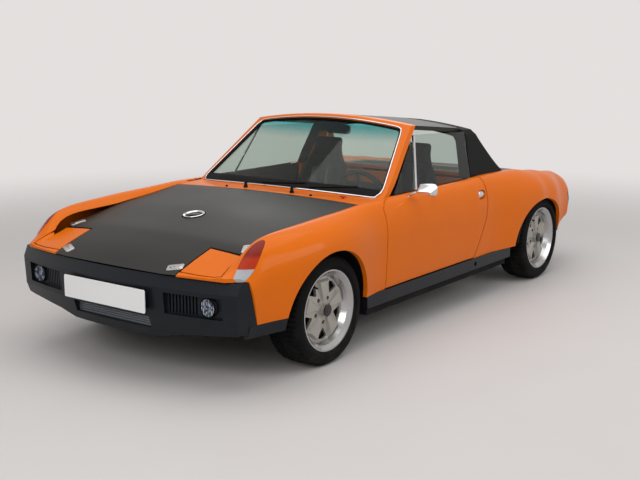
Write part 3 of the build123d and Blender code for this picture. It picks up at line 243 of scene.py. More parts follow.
def wear(graph: Graph, given: Sequence[Socket]) -> list[Socket]:
    """Rubbed edges, as a mask from the surface's pointiness broken up by noise.

    Args:
        graph: The group's graph.
        given: The group's inputs.

    Returns:
        One socket for each output.
    """
    edge = graph.ramp(graph.add("NewGeometry").outputs["Pointiness"], 0.53, 0.60)
    broken = graph.ramp(graph.noise(given[0], 55.0, 5.0), 0.40, 0.62)
    return [graph.times(graph.times(edge, broken), given[1], clamp=True)]


EFFECTS = {
    "pebble_grain": (grain, {"Scale": 400.0, "Cells": 1.0}, ("Height", "Mask")),
    "cloth_weave": (weave, {"Scale": 2200.0}, ("Height", "Mask")),
    "road_dust": (dust, {"Amount": 0.3}, ("Mask",)),
    "edge_wear": (wear, {"Amount": 0.5}, ("Mask",)),
}


def effect_group(name: str) -> bpy.types.NodeTree:
    """Make a shared effect's node group, once.

    Args:
        name: The effect's name.

    Returns:
        The group's node tree.
    """
    found = bpy.data.node_groups.get(name)
    if found:
        return found
    build, amounts, outputs = EFFECTS[name]
    tree = bpy.data.node_groups.new(name, "ShaderNodeTree")
    tree.interface.new_socket("Vector", in_out="INPUT", socket_type="NodeSocketVector")
    for label, default in amounts.items():
        tree.interface.new_socket(label, in_out="INPUT", socket_type="NodeSocketFloat").default_value = default
    for label in outputs:
        tree.interface.new_socket(label, in_out="OUTPUT", socket_type="NodeSocketFloat")
    graph = Graph(tree)
    given = graph.add("NodeGroupInput").outputs
    graph.feed(graph.add("NodeGroupOutput"), dict(enumerate(build(graph, given))))
    return tree


# --- Finishes


class Texture(Enum):
    """What relief a finish has."""

    SMOOTH = "smooth"
    GRAIN = "pebble_grain"
    WEAVE = "cloth_weave"
    BRUSHED = "brushed"


@dataclass(frozen=True)
class Finish:
    """A finish: a named material that is made at its first use."""

    name: str

    def material(self) -> bpy.types.Material:
        """The finish's material, set up once.

        Returns:
            The material.
        """
        found = bpy.data.materials.get(self.name)
        if found:
            return found
        material = bpy.data.materials.new(self.name)
        material.use_nodes = True
        self.dress(Graph(material.node_tree))
        return material

    def dress(self, graph: Graph) -> None:
        """Set up the material's nodes."""
        raise NotImplementedError


@dataclass(frozen=True)
class Solid(Finish):
    """One material all over: its colour, how it shines and the relief on it."""

    colour: Colour
    roughness: float
    metallic: float = 0.0
    coat: float = 0.0
    coat_roughness: float = 0.04
    specular: float = 0.5
    sheen: float = 0.0
    texture: Texture = Texture.SMOOTH
    scale: float = 300.0
    relief: float = 0.1
    variation: float = 0.06
    dust: float = 0.0
    wear: float = 0.0
    wear_colour: Colour = (0.35, 0.34, 0.33)
    dust_colour: Colour = (0.24, 0.22, 0.19)

    def dress(self, graph: Graph) -> None:
        """Mix the colour from shade, grain, wear and dust, and bend the normal by the relief.

        Args:
            graph: The material's graph.
        """
        place = graph.place()
        cloud = graph.noise(place, 3.2, 6.0)
        darker, lighter = (tuple(min(1.0, c * (1 + way * self.variation)) for c in self.colour) for way in (-1, 1))
        colour = graph.mix(cloud, darker, lighter)
        rough = graph.remap(cloud, self.roughness * 0.88, self.roughness * 1.12)
        if self.texture in (Texture.GRAIN, Texture.WEAVE):
            height, mask = graph.effect(self.texture.value, place, Scale=self.scale)
            colour = graph.mix(graph.times(mask, 0.25), colour, lighter)
        elif self.texture is Texture.BRUSHED:
            stretched = graph.add("Mapping", {"Vector": place, "Scale": (1.0, 30.0, 30.0)}).outputs[0]
            height = graph.noise(stretched, self.scale)
        else:
            height = graph.noise(place, self.scale)
        if self.wear:
            colour = graph.mix(graph.effect("edge_wear", place, Amount=self.wear)[0], colour, self.wear_colour)
        if self.dust:
            dusty = graph.effect("road_dust", place, Amount=self.dust)[0]
            colour = graph.mix(dusty, colour, self.dust_colour)
            rough = graph.math("ADD", rough, graph.times(dusty, 0.3), clamp=True)
        graph.feed(graph.shader, {
            "Metallic": self.metallic, "Coat Weight": self.coat, "Coat Roughness": self.coat_roughness,
            "Specular IOR Level": self.specular, "Sheen Weight": self.sheen, "Base Color": colour,
            "Roughness": rough, "Normal": graph.bump(height, self.relief)})


class Zone(NamedTuple):
    """One zone of a finish."""

    colour: Colour
    metallic: float
    roughness: float


@dataclass(frozen=True)
class Zoned(Finish):
    """A finish of two zones, told apart by a mask of the place and the normal."""

    first: Zone
    second: Zone
    mask: Callable[[Graph, Socket, Socket], Socket]
    coat: float = 0.0
    spread: float = 0.12
    coat_roughness: float = 0.05
    specular: float = 0.06
    dust: float = 0.06
    dust_colour: Colour = (0.13, 0.12, 0.10)

    def dress(self, graph: Graph) -> None:
        """Change colour, metal and gloss from the first zone, at mask 0, to the second.

        Args:
            graph: The material's graph.
        """
        place = graph.place()
        zone = self.mask(graph, place, graph.add("NewGeometry").outputs["Normal"])
        shade = graph.remap(graph.noise(place, 14.0, 7.0), 1 - self.spread, 1 + self.spread)
        tinted = graph.vector("SCALE", {0: graph.mix(zone, self.first.colour, self.second.colour), 3: shade})
        dusty = graph.effect("road_dust", place, Amount=self.dust)[0]
        rough = graph.remap(zone, self.first.roughness, self.second.roughness)
        graph.feed(graph.shader, {
            "Specular IOR Level": self.specular, "Coat Weight": self.coat, "Coat Roughness": self.coat_roughness,
            "Base Color": graph.mix(dusty, tinted, self.dust_colour),
            "Metallic": graph.remap(zone, self.first.metallic, self.second.metallic),
            "Roughness": graph.times(rough, shade), "Normal": graph.bump(graph.noise(place, 420.0, 3.0), 0.08)})


@dataclass(frozen=True)
class Glass(Finish):
    """Clear window glass that lets light through to the inside, with a tinted band at its top if it has one."""

    tint: Colour
    band: Optional[Colour] = None
    band_z: Pair = (1.0, 1.1)
    ior: float = 1.22
    film: float = 0.025

    def dress(self, graph: Graph) -> None:
        """Make the glass with a faint film, and let it cast no shadow.

        Args:
            graph: The material's graph.
        """
        place = graph.place()
        colour = rgba(self.tint)
        if self.band:
            colour = graph.mix(graph.ramp(graph.xyz(place)[2], *self.band_z), self.tint, self.band)
        film = graph.remap(graph.noise(place, 5.0, 6.0), 0.0, self.film, 0.5, 0.9)
        graph.feed(graph.shader, {"Transmission Weight": 1.0, "IOR": self.ior, "Roughness": film,
                                  "Base Color": colour})
        clear = graph.add("BsdfTransparent", {"Color": colour})
        graph.blend(graph.add("LightPath").outputs["Is Shadow Ray"], graph.shader, clear)


@dataclass(frozen=True)
class Lens(Finish):
    """A moulded, ribbed lamp lens whose colour changes over its sections."""

    colours: Callable[[Graph, Socket], Socket]
    rib_rate: float = 900.0

    def dress(self, graph: Graph) -> None:
        """Colour the lens and rib it across the car.

        Args:
            graph: The material's graph.
        """
        place = graph.place()
        ribs = graph.math("SINE", graph.times(graph.xyz(place)[0], self.rib_rate))
        graph.feed(graph.shader, {
            "Roughness": 0.20, "Specular IOR Level": 0.12, "Coat Weight": 0.12, "Coat Roughness": 0.05,
            "Base Color": self.colours(graph, place), "Normal": graph.bump(ribs, 0.35, 0.001)})


def radius_from(graph: Graph, place: Socket, centre: Sequence[float], keep: Point = (1, 1, 1)) -> Socket:
    """The distance from a point, or from a line along the axis that isn't kept."""
    away = graph.vector("SUBTRACT", {0: place, 1: tuple(centre)})
    return graph.vector("LENGTH", {0: graph.vector("MULTIPLY", {0: away, 1: keep})}, 1)


def outward(graph: Graph, place: Socket, normal: Socket) -> Socket:
    """How much a face looks away from the middle of the car, from -1 to 1."""
    return graph.times(graph.xyz(normal)[0], graph.math("SIGN", graph.xyz(place)[0]))


@dataclass(frozen=True)
class WheelFinish(Finish):
    """Cast alloy with satin leaves and a polished rim, its back and brake disc painted near-black as shade."""

    node: str
    leaves: Zone = Zone((0.40, 0.385, 0.35), 0.55, 0.42)
    rim: Zone = Zone((0.44, 0.44, 0.44), 1.0, 0.20)
    back_colour: Colour = (0.015, 0.014, 0.013)
    rim_from: float = 0.160

    def dress(self, graph: Graph) -> None:
        """Dress the wheel's face by radius, and paint shade on its back by depth.

        Args:
            graph: The material's graph.
        """
        low, high, centre = box_of(self.node)
        out = 1.0 if centre.x > 0 else -1.0

        def mask(inner: Graph, spot: Socket, normal: Socket) -> Socket:
            """The polished rim."""
            return inner.ramp(radius_from(inner, spot, centre, (0, 1, 1)), self.rim_from, self.rim_from + 0.006)

        Zoned(self.name, self.leaves, self.rim, mask).dress(graph)
        place = graph.place()
        # Painted shade: the back, deeper than the face and seen through the windows, is coloured near-black.
        depth = graph.times(graph.math("SUBTRACT", high.x if out > 0 else low.x, graph.xyz(place)[0]), out)
        inside = graph.ramp(radius_from(graph, place, centre, (0, 1, 1)), 0.162, 0.158)
        behind = graph.times(graph.ramp(depth, 0.058, 0.064), inside)
        old = graph.shader.inputs["Base Color"].links[0].from_socket
        graph.feed(graph.shader, {"Base Color": graph.mix(behind, old, self.back_colour)})


def hoop_mask(graph: Graph, place: Socket, normal: Socket) -> Socket:
    """Faces of the roll hoop that look at the cabin, below its top."""
    return graph.times(graph.ramp(outward(graph, place, normal), -0.4, -0.6),
                       graph.ramp(graph.xyz(place)[2], 1.02, 1.00))


def pan_mask(graph: Graph, place: Socket, normal: Socket) -> Socket:
    """The painted top of the cabin's rear wall."""
    _, y, z = graph.xyz(place)
    return graph.times(graph.ramp(y, 0.575, 0.580), graph.ramp(z, 0.655, 0.660))


def cover_mask(graph: Graph, place: Socket, normal: Socket) -> Socket:
    """What lies under a headlight's painted cover, whose top rises towards the rear.

    Args:
        graph: The material's graph.
        place: Object coordinates.
        normal: The face's normal; not used.

    Returns:
        The mask's socket.
    """
    _, y, z = graph.xyz(place)
    slope = 0.3767
    skin = graph.math("ADD", graph.times(y, slope), 0.656 + 1.702 * slope - 0.034)
    return graph.ramp(graph.math("SUBTRACT", skin, z), 0.0, 0.002)


def spoke_mask(graph: Graph, place: Socket, normal: Socket) -> Socket:
    """The spokes and the hub of the steering wheel."""
    return graph.ramp(radius_from(graph, place, STEERING_CENTRE), 0.160, 0.156)


def lining_mask(graph: Graph, place: Socket, normal: Socket) -> Socket:
    """Faces of a door that look out of the car, and its shut faces."""
    return graph.ramp(outward(graph, place, normal), -0.55, -0.45)


def signal_colours(graph: Graph, place: Socket) -> Socket:
    """The front turn signal: amber and red over a clear lower third.

    Args:
        graph: The material's graph.
        place: Object coordinates.

    Returns:
        The colour's socket.
    """
    height = graph.xyz(place)[2]
    coloured = graph.mix(graph.ramp(height, 0.640, 0.660), (0.40, 0.030, 0.006), (0.21, 0.012, 0.004))
    return graph.mix(graph.ramp(height, 0.598, 0.602), (0.38, 0.39, 0.41), coloured)


def tail_colours(graph: Graph, place: Socket) -> Socket:
    """The tail lamp: amber outside, red, then a clear reversing lamp inside.

    Args:
        graph: The material's graph.
        place: Object coordinates.

    Returns:
        The colour's socket.
    """
    out = graph.math("ABSOLUTE", graph.xyz(place)[0])
    red = graph.mix(graph.ramp(out, 0.620, 0.622), (0.36, 0.010, 0.008), (0.62, 0.14, 0.01))
    return graph.mix(graph.ramp(out, 0.500, 0.502), (0.65, 0.65, 0.66), red)


def flute_colours(graph: Graph, place: Socket) -> Socket:
    """The fog lamp's glass: dark, with broken bright flutes down it that are painted glints.

    Args:
        graph: The material's graph.
        place: Object coordinates.

    Returns:
        The colour's socket.
    """
    wave = graph.math("ABSOLUTE", graph.math("SINE", graph.times(graph.xyz(place)[0], 300.0)))
    # Painted highlight: the bright flute colour, broken up by noise, stands in for glints of light on the glass.
    bright = graph.times(graph.ramp(wave, 0.55, 0.95), graph.ramp(graph.noise(place, 55.0, 3.0), 0.42, 0.62))
    return graph.mix(bright, (0.020, 0.028, 0.045), (0.55, 0.62, 0.72))


def clear_colours(graph: Graph, place: Socket) -> Socket:
    """The headlamp's clear glass."""
    return graph.mix(0.5, (0.50, 0.52, 0.55), (0.62, 0.64, 0.66))


STEERING_CENTRE = (0.350, -0.265, 0.705)
ORANGE = (0.70, 0.142, 0.002)
DARK = (0.008, 0.008, 0.009)
GRAIN, WEAVE, BRUSHED = Texture.GRAIN, Texture.WEAVE, Texture.BRUSHED

PAINT = Solid("orange_paint_finish", ORANGE, 0.36, coat=0.18, coat_roughness=0.05, specular=0.06, scale=260.0,
              relief=0.012, variation=0.03, dust=0.03)
BLACK_PAINT = Solid("black_paint_finish", (0.018, 0.018, 0.015), 0.40, specular=0.16, scale=700.0, relief=0.05,
                    variation=0.12, dust=0.03)
VINYL = Solid("black_vinyl_finish", (0.010, 0.010, 0.009), 0.60, specular=0.10, texture=GRAIN, scale=420.0,
              relief=0.3)
MOULDING = Solid("black_moulding_finish", (0.007, 0.009, 0.013), 0.30, specular=0.20, texture=GRAIN, scale=900.0,
                 relief=0.06, dust=0.03, wear=0.05, wear_colour=(0.03, 0.03, 0.03))
BLACK_TRIM = Solid("black_trim_finish", (0.005, 0.005, 0.006), 0.40, specular=0.06, scale=500.0, relief=0.03,
                   wear=0.05, wear_colour=(0.03, 0.03, 0.03))
UNDERBODY = Solid("underbody_steel_finish", (0.010, 0.010, 0.010), 0.65, specular=0.04, scale=120.0, relief=0.2,
                  dust=0.3)
CHROME = Solid("bright_trim_finish", (0.66, 0.66, 0.67), 0.12, metallic=1.0, scale=200.0, relief=0.01)
MIRROR = Solid("mirror_glass_finish", (0.72, 0.74, 0.76), 0.03, metallic=1.0, scale=80.0, relief=0.004,
               variation=0.02)
LATCH = Solid("latch_alloy_finish", (0.52, 0.51, 0.49), 0.34, metallic=0.9, relief=0.04, wear=0.2,
              wear_colour=(0.75, 0.75, 0.75))
BRASS = Solid("buckle_plating_finish", (0.62, 0.54, 0.22), 0.30, metallic=0.8, relief=0.04)
DARK_STEEL = Solid("dark_steel_finish", (0.045, 0.045, 0.047), 0.38, metallic=0.8, scale=400.0, relief=0.08,
                   wear=0.3, wear_colour=(0.2, 0.2, 0.2))
CAP = Solid("cap_plastic_finish", (0.012, 0.011, 0.013), 0.28, specular=0.4, scale=600.0, relief=0.03)
COOLER = Solid("cooler_alloy_finish", (0.22, 0.24, 0.26), 0.45, metallic=0.8, texture=BRUSHED, relief=0.2)
TYRE = Solid("tyre_rubber_finish", (0.008, 0.008, 0.008), 0.62, specular=0.035, texture=GRAIN, scale=600.0,
             relief=0.10, dust=0.05)
RUBBER = Solid("seal_rubber_finish", (0.006, 0.006, 0.006), 0.55, specular=0.06, texture=GRAIN, scale=800.0,
               relief=0.08)
RUNNING = Solid("running_gear_finish", (0.10, 0.10, 0.10), 0.5, metallic=0.7, texture=BRUSHED, relief=0.15,
                dust=0.6, wear=0.3)
CASTING = Solid("engine_castings_finish", (0.20, 0.20, 0.20), 0.6, metallic=0.7, scale=240.0, relief=0.4, dust=0.5)
EXHAUST = Solid("exhaust_steel_finish", (0.42, 0.40, 0.37), 0.32, metallic=1.0, texture=BRUSHED, relief=0.1)
CLOTH = Solid("seat_cloth_finish", (0.010, 0.011, 0.012), 0.88, specular=0.05, sheen=0.04, texture=WEAVE,
              scale=2600.0, relief=0.3, variation=0.15)
WEBBING = Solid("harness_webbing_finish", (0.010, 0.010, 0.012), 0.7, specular=0.25, sheen=0.3, texture=WEAVE,
                scale=5200.0, relief=0.4)
PLATE = Solid("plate_white_finish", (0.84, 0.84, 0.84), 0.4, relief=0.01, variation=0.01)
RED_PLASTIC = Solid("red_plastic_finish", (0.45, 0.015, 0.01), 0.35, relief=0.03)
LAMP_BOWL = Solid("lamp_bowl_finish", (0.05, 0.055, 0.065), 0.30, metallic=0.4, scale=120.0, relief=0.05)
DIAL = Solid("dial_black_finish", DARK, 0.35, scale=400.0, relief=0.02)

WINDSCREEN_GLASS = Glass("windscreen_glass", (0.66, 0.74, 0.68), (0.07, 0.42, 0.42), (1.03, 1.13))
SIDE_GLASS = Glass("side_glass", (0.66, 0.72, 0.69))
LAMP_GLASS = Glass("lamp_cover_glass", (0.93, 0.96, 0.98))
SIGNAL_LENS = Lens("signal_lens", signal_colours)
TAIL_LENS = Lens("tail_lens", tail_colours)
FOG_LENS = Lens("fog_lens", flute_colours)
HEADLAMP_LENS = Lens("headlamp_lens", clear_colours)

PAINTED = Zone(ORANGE, 0.0, 0.36)
DOOR = Zoned("door_finish", Zone((0.008, 0.008, 0.008), 0.0, 0.6), PAINTED, lining_mask, PAINT.coat,
             PAINT.variation)

SLOT_FINISHES = {
    "orange_paint": PAINT, "black_paint": BLACK_PAINT, "black_vinyl": VINYL, "black_moulding": MOULDING,
    "underbody_steel": UNDERBODY, "glass": SIDE_GLASS, "bright_trim": CHROME, "lamp_lens": SIGNAL_LENS,
    "lamp_glass": LAMP_GLASS, "plate_white": PLATE, "cooler_alloy": COOLER, "tyre_rubber": TYRE,
    "running_gear": RUNNING, "engine_castings": CASTING, "exhaust_steel": EXHAUST, "seat_cloth": CLOTH,
}
NODE_FINISHES = {
    "windscreen": WINDSCREEN_GLASS, "tail_lamps": TAIL_LENS, "fuel_filler": LAMP_BOWL,
    "roll_hoop": Zoned("hoop_covering", Zone((0.012, 0.012, 0.012), 0.0, 0.6), PAINTED, hoop_mask),
    "floor_pan": Zoned("cabin_pan", Zone((0.014, 0.014, 0.014), 0.0, 0.8), PAINTED, pan_mask),
    "steering_wheel": Zoned("steering_wheel_finish", Zone((0.012, 0.012, 0.012), 0.0, 0.5),
                            Zone((0.05, 0.05, 0.052), 0.8, 0.35), spoke_mask),
    "door_left": DOOR, "door_right": DOOR,
    **{f"headlight_{side}": Zoned(f"headlight_finish_{side}", PAINTED, Zone(DARK, 0.0, 0.5), cover_mask, PAINT.coat,
                                  PAINT.variation) for side in Side},
    **{f"wheel_{end}_{side}": WheelFinish(f"wheel_{end}_{side}_alloy", f"wheel_{end}_{side}")
       for end in End for side in Side},
}


def finish_frame(sharp: float = 28.0) -> None:
    """Give every CAD node its material and smooth its curved faces.

    Args:
        sharp: The angle in degrees over which an edge stays sharp.
    """
    for entry in frame["record"]["subparts"]:
        data = NODES[entry["node"]].data
        finish = NODE_FINISHES.get(entry["node"]) or SLOT_FINISHES[entry["material_slot"]]
        data.materials.clear()
        data.materials.append(finish.material())
        data.shade_smooth()
        data.set_sharp_from_angle(angle=math.radians(sharp))
    LOG.info("finished %d CAD nodes", len(NODES))


# --- Mesh code


def box_of(node: str) -> tuple[Vector, Vector, Vector]:
    """A CAD node's low corner, high corner and middle."""
    low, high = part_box(node)
    return low, high, (low + high) / 2


def mesh_object(name: str, points: Sequence, faces: Sequence, finish: Finish,
                sharp: float = 35.0) -> bpy.types.Object:
    """An object from points and faces.

    Args:
        name: The object's name.
        points: Vertex positions in metres.
        faces: Vertex indices of each face.
        finish: The object's finish.
        sharp: The angle in degrees over which an edge stays sharp.

    Returns:
        The object, with its normals facing out.
    """
    data = bpy.data.meshes.new(name)
    data.from_pydata([tuple(map(float, p)) for p in points], [], [tuple(map(int, f)) for f in faces])
    work = bmesh.new()
    work.from_mesh(data)
    bmesh.ops.remove_doubles(work, verts=work.verts, dist=1e-6)
    bmesh.ops.recalc_face_normals(work, faces=work.faces)
    work.to_mesh(data)
    work.free()
    data.materials.append(finish.material())
    data.shade_smooth()
    data.set_sharp_from_angle(angle=math.radians(sharp))
    made = bpy.data.objects.new(name, data)
    bpy.context.collection.objects.link(made)
    return made


def place_piece(piece: bpy.types.Object, body: str, slot: str, *replaced: str) -> None:
    """Let a piece ride on its body, hide the CAD nodes that it stands for, and log it.

    Args:
        piece: The finished piece.
        body: The CAD body that it moves with.
        slot: The record's material slot; not used.
        *replaced: CAD nodes that it replaces.
    """
    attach(piece, body)
    if replaced:
        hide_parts(*replaced)
    LOG.info("piece %s on %s, %d faces", piece.name, body, len(piece.data.polygons))


def grid_faces(rows: int, columns: int, wrap_rows: bool = False, wrap_columns: bool = False) -> list:
    """Quads over a grid of vertices listed row by row.

    Args:
        rows: The number of rows.
        columns: The number of columns.
        wrap_rows: Whether the last row joins the first.
        wrap_columns: Whether the last column joins the first.

    Returns:
        The faces.
    """
    faces = []
    for i in range(rows if wrap_rows else rows - 1):
        for j in range(columns if wrap_columns else columns - 1):
            here, below = i * columns, ((i + 1) % rows) * columns
            faces.append((here + j, here + (j + 1) % columns, below + (j + 1) % columns, below + j))
    return faces


def circle_section(radius: float, sides: int = 12) -> list[Pair]:
    """A round section, as (across, over) points."""
    turns = [2 * math.pi * i / sides for i in range(sides)]
    return [(radius * math.cos(angle), radius * math.sin(angle)) for angle in turns]


def flat_section(width: float, thickness: float) -> list[Pair]:
    """A flat section with its edges rounded, as (across, over) points.

    Args:
        width: Its width.
        thickness: Its thickness.

    Returns:
        The section's points.
    """
    w, t = width / 2, thickness / 2
    r = min(t, w) * 0.8
    return [(w, -t + r), (w, t - r), (w - r, t), (-w + r, t), (-w, t - r), (-w, -t + r), (-w + r, -t), (w - r, -t)]


def squared_circle(count: int, across: float, over: float) -> list[Pair]:
    """Points round a circle of radius 1 that powers below 1 pull towards a square.

    Args:
        count: The number of points.
        across: The power of the cosine.
        over: The power of the sine.

    Returns:
        (across, over) points.
    """
    turns = [2 * math.pi * i / count for i in range(count)]
    return [(math.copysign(abs(math.cos(a)) ** across, math.cos(a)),
             math.copysign(abs(math.sin(a)) ** over, math.sin(a))) for a in turns]


def rounded_outline(centre: Vector, across: Vector, along: Vector, width: float, length: float, radius: float,
                    steps: int = 4) -> list[Vector]:
    """A rectangle with round corners.

    Args:
        centre: The middle of the rectangle.
        across: The direction of its width.
        along: The direction of its length.
        width: Its width.
        length: Its length.
        radius: Its corner radius.
        steps: Points on each corner, less one.

    Returns:
        The outline's points.
    """
    points = []
    for turn, (sx, sy) in enumerate(((1, 1), (-1, 1), (-1, -1), (1, -1))):
        for step in range(steps + 1):
            angle = math.pi / 2 * (turn + step / steps)
            x = sx * (width / 2 - radius) + radius * math.cos(angle)
            y = sy * (length / 2 - radius) + radius * math.sin(angle)
            points.append(centre + across * x + along * y)
    return points


def smooth_path(points: Sequence, steps: int = 6) -> list[Vector]:
    """A smooth line through points.

    Args:
        points: The points to pass through.
        steps: New points for each stretch.

    Returns:
        The line's points.
    """
    line = [Vector(p) for p in points]
    result = []
    for i in range(len(line) - 1):
        a, b, c, d = (line[min(max(i + k, 0), len(line) - 1)] for k in (-1, 0, 1, 2))
        for step in range(steps):
            t = step / steps
            result.append(0.5 * (2 * b + (c - a) * t + (2 * a - 5 * b + 4 * c - d) * t * t
                                 + (3 * b - a - 3 * c + d) * t ** 3))
    return result + [line[-1]]


class Shape:
    """The points and faces of one piece, put together from lofted, turned and swept forms."""

    def __init__(self) -> None:
        """Start with nothing."""
        self.points: list[Vector] = []
        self.faces: list[tuple[int, ...]] = []

    def add(self, points: Sequence, faces: Sequence) -> "Shape":
        """Add points and the faces between them."""
        start = len(self.points)
        self.points += [Vector(p) for p in points]
        self.faces += [tuple(start + i for i in face) for face in faces]
        return self

    def loft(self, rings: Sequence[Sequence], closed: bool = False) -> "Shape":
        """Join rings of equally many points, and fill the first and the last one.

        Args:
            rings: The rings, in order.
            closed: Whether the last ring joins the first instead, with nothing to fill.

        Returns:
            The shape itself.
        """
        count = len(rings[0])
        faces = grid_faces(len(rings), count, wrap_rows=closed, wrap_columns=True)
        if not closed:
            last = (len(rings) - 1) * count
            faces += [tuple(range(count - 1, -1, -1)), tuple(range(last, last + count))]
        return self.add([p for ring in rings for p in ring], faces)

    def turn(self, profile: Sequence[Pair], centre: Sequence, axis: Sequence, steps: int = 48,
             closed: bool = False) -> "Shape":
        """Turn a profile about an axis.

        Args:
            profile: (along the axis, radius) points.
            centre: The point on the axis where "along" is 0.
            axis: The axis direction.
            steps: Points around.
            closed: Whether the profile is a closed loop, which leaves a hole in the middle.

        Returns:
            The shape itself.
        """
        line = Vector(axis).normalized()
        side = line.orthogonal().normalized()
        over = line.cross(side)
        points = []
        for step in range(steps):
            angle = 2 * math.pi * step / steps
            out = side * math.cos(angle) + over * math.sin(angle)
            points += [Vector(centre) + line * along + out * radius for along, radius in profile]
        count = len(profile)
        faces = grid_faces(steps, count, wrap_rows=True, wrap_columns=closed)
        ends = () if closed else (0, count - 1)
        faces += [tuple(i * count + end for i in range(steps)) for end in ends if profile[end][1] > 1e-6]
        return self.add(points, faces)

    def sweep(self, path: Sequence, section: Sequence[Pair], over: Sequence = (0, 0, 1),
              closed: bool = False) -> "Shape":
        """Sweep a section along a path.

        Args:
            path: The path's points.
            section: (across, over) points.
            over: The direction that "over" leans to, or one for each point of the path.
            closed: Whether the path is a loop.

        Returns:
            The shape itself.
        """
        line = [Vector(p) for p in path]
        count = len(line)
        overs = [Vector(over)] * count if isinstance(over[0], (int, float)) else over
        rings = []
        for i, point in enumerate(line):
            before = line[i - 1] if i or closed else point
            after = line[(i + 1) % count] if i < count - 1 or closed else point
            along = (after - before).normalized()
            across = along.cross(overs[i]).normalized()
            up = across.cross(along)
            rings.append([point + across * a + up * b for a, b in section])
        return self.loft(rings, closed)

    def slab(self, outline: Sequence[Vector], normal: Sequence, depth: float, edge: float = 0.001) -> "Shape":
        """A plate over a flat outline, with its top edge rounded over.

        Args:
            outline: The outline's points.
            normal: The direction in which the plate stands up.
            depth: The plate's thickness.
            edge: The radius of the rounded edge.

        Returns:
            The shape itself.
        """
        up = Vector(normal).normalized()
        middle = sum(outline, Vector()) / len(outline)
        rings = [list(outline), [p + up * (depth - edge) for p in outline]]
        for share, height in ((0.35, 0.35), (1.0, 0.0)):
            rings.append([p + (middle - p).normalized() * (edge * share) + up * (depth - edge * height)
                          for p in outline])
        return self.loft(rings)

    def on_side(self, side: Side) -> "Shape":
        """The shape itself on the car's left, or its mirror image on the right.

        Args:
            side: The side.

        Returns:
            The shape, or a mirrored copy.
        """
        if side is Side.LEFT:
            return self
        return Shape().add([(-p.x, p.y, p.z) for p in self.points], [face[::-1] for face in self.faces])

    def build(self, name: str, finish: Finish, sharp: float = 35.0) -> bpy.types.Object:
        """Make the object."""
        return mesh_object(name, self.points, self.faces, finish, sharp)

    def put(self, name: str, finish: Finish, body: str, slot: str, *replaced: str, sharp: float = 35.0) -> None:
        place_piece(self.build(name, finish, sharp), body, slot, *replaced)


def cast(piece: bpy.types.Object, origin: Sequence, way: Vector) -> Optional[Hit]:
    """Where a ray first meets a piece and the normal there, turned against the ray, or None."""
    hit, place, normal, _ = piece.ray_cast(origin, way)
    return (place, normal if normal.dot(way) < 0 else -normal) if hit else None


def meet(piece: bpy.types.Object, origin: Sequence, way: Vector) -> Hit:
    """The same for a ray that has to meet the piece.

    Args:
        piece: The piece.
        origin: Where the ray starts.
        way: Its direction.

    Returns:
        The point and its normal.
    """
    found = cast(piece, origin, way)
    if found is None:
        raise ValueError(f"{piece.name} isn't met from {tuple(origin)}")
    return found


def drop_on(node: str, x: float, y: float) -> Hit:
    """The point of a CAD node under (x, y), and its normal."""
    return meet(NODES[node], (x, y, 2.0), -Z)


def face_on(node: str, x: float, z: float, out: Vector = Vector()) -> Hit:
    """The point of a CAD node's front at (x, z), and its normal.

    Args:
        node: The CAD node.
        x: Across the car.
        z: Up.
        out: The direction in which the nearest part of the node is sought where nothing of it lies at (x, z).

    Returns:
        The point and its normal.
    """
    for step in range(32):
        seen = Vector((x, -2.5, z)) + out * (step // 2) * (0.002 if step % 2 else -0.002)
        found = cast(NODES[node], seen, Y)
        if found:
            return Vector((x, found[0].y, z)), found[1]
    raise ValueError(f"nothing of {node} lies behind {x}, {z}")


# --- Wheels


@dataclass(frozen=True)
class Tyre:
    """A road tyre: its section, and how its tread is cut."""

    end: End
    side: Side
    radius: float
    blocks: int
    groove: float = 0.007
    sipe: float = 0.006
    camber: float = 0.0015
    tread_half: float = 0.056

    WALL = (
        (0.078, 0.1905), (0.080, 0.1995), (0.086, 0.2060), (0.0945, 0.2160), (0.1000, 0.2265), (0.1012, 0.2280),
        (0.1035, 0.2290), (0.1045, 0.2360), (0.1040, 0.2450), (0.1020, 0.2540), (0.0990, 0.2630), (0.0960, 0.2700),
        (0.0930, 0.2752), (0.0885, 0.2795), (0.0830, 0.2826), (0.0780, 0.2842), (0.0700, 0.2852), (0.0560, 0.2861))
    TREAD = (0.0555, 0.0500, 0.0495, 0.0300, 0.0295, 0.0240, 0.0235, 0.0120, 0.0040)
    GROOVED = (0.0500, 0.0495, 0.0240, 0.0235)
    LINER = ((-0.0660, 0.1905), (-0.0880, 0.2300), (-0.0750, 0.2650), (0.0750, 0.2650), (0.0880, 0.2300),
             (0.0660, 0.1905))
    FIRST_CUT = 13
    STEPS = 5

    def build(self) -> None:
        """Make the tyre, with round grooves and staggered cross cuts that run over its shoulders."""
        half = list(self.WALL) + [(x, self.radius - (self.groove if x in self.GROOVED else 0.0)
                                   - self.camber * (x / self.tread_half) ** 2) for x in self.TREAD]
        section = half + [(-x, r) for x, r in reversed(half)]
        ring = section + list(self.LINER)
        around = self.blocks * self.STEPS
        cx, cy, cz = box_of(f"tyre_{self.end}_{self.side}")[2]
        points = []
        for step in range(around):
            angle = 2 * math.pi * step / around
            for index, (x, r) in enumerate(ring):
                treaded = self.FIRST_CUT <= index < len(section) - self.FIRST_CUT and abs(x) > 0.004
                turn = step + (2 if x < 0 else 0)
                r -= self.sipe if treaded and turn % self.STEPS == 0 else 0.0
                points.append((cx + x, cy + r * math.cos(angle), cz + r * math.sin(angle)))
        Shape().add(points, grid_faces(around, len(ring), True, True)).put(
            f"road_tyre_{self.end}_{self.side}", TYRE, f"{self.end}_wheel_{self.side}", "tyre_rubber",
            f"tyre_{self.end}_{self.side}", sharp=32)


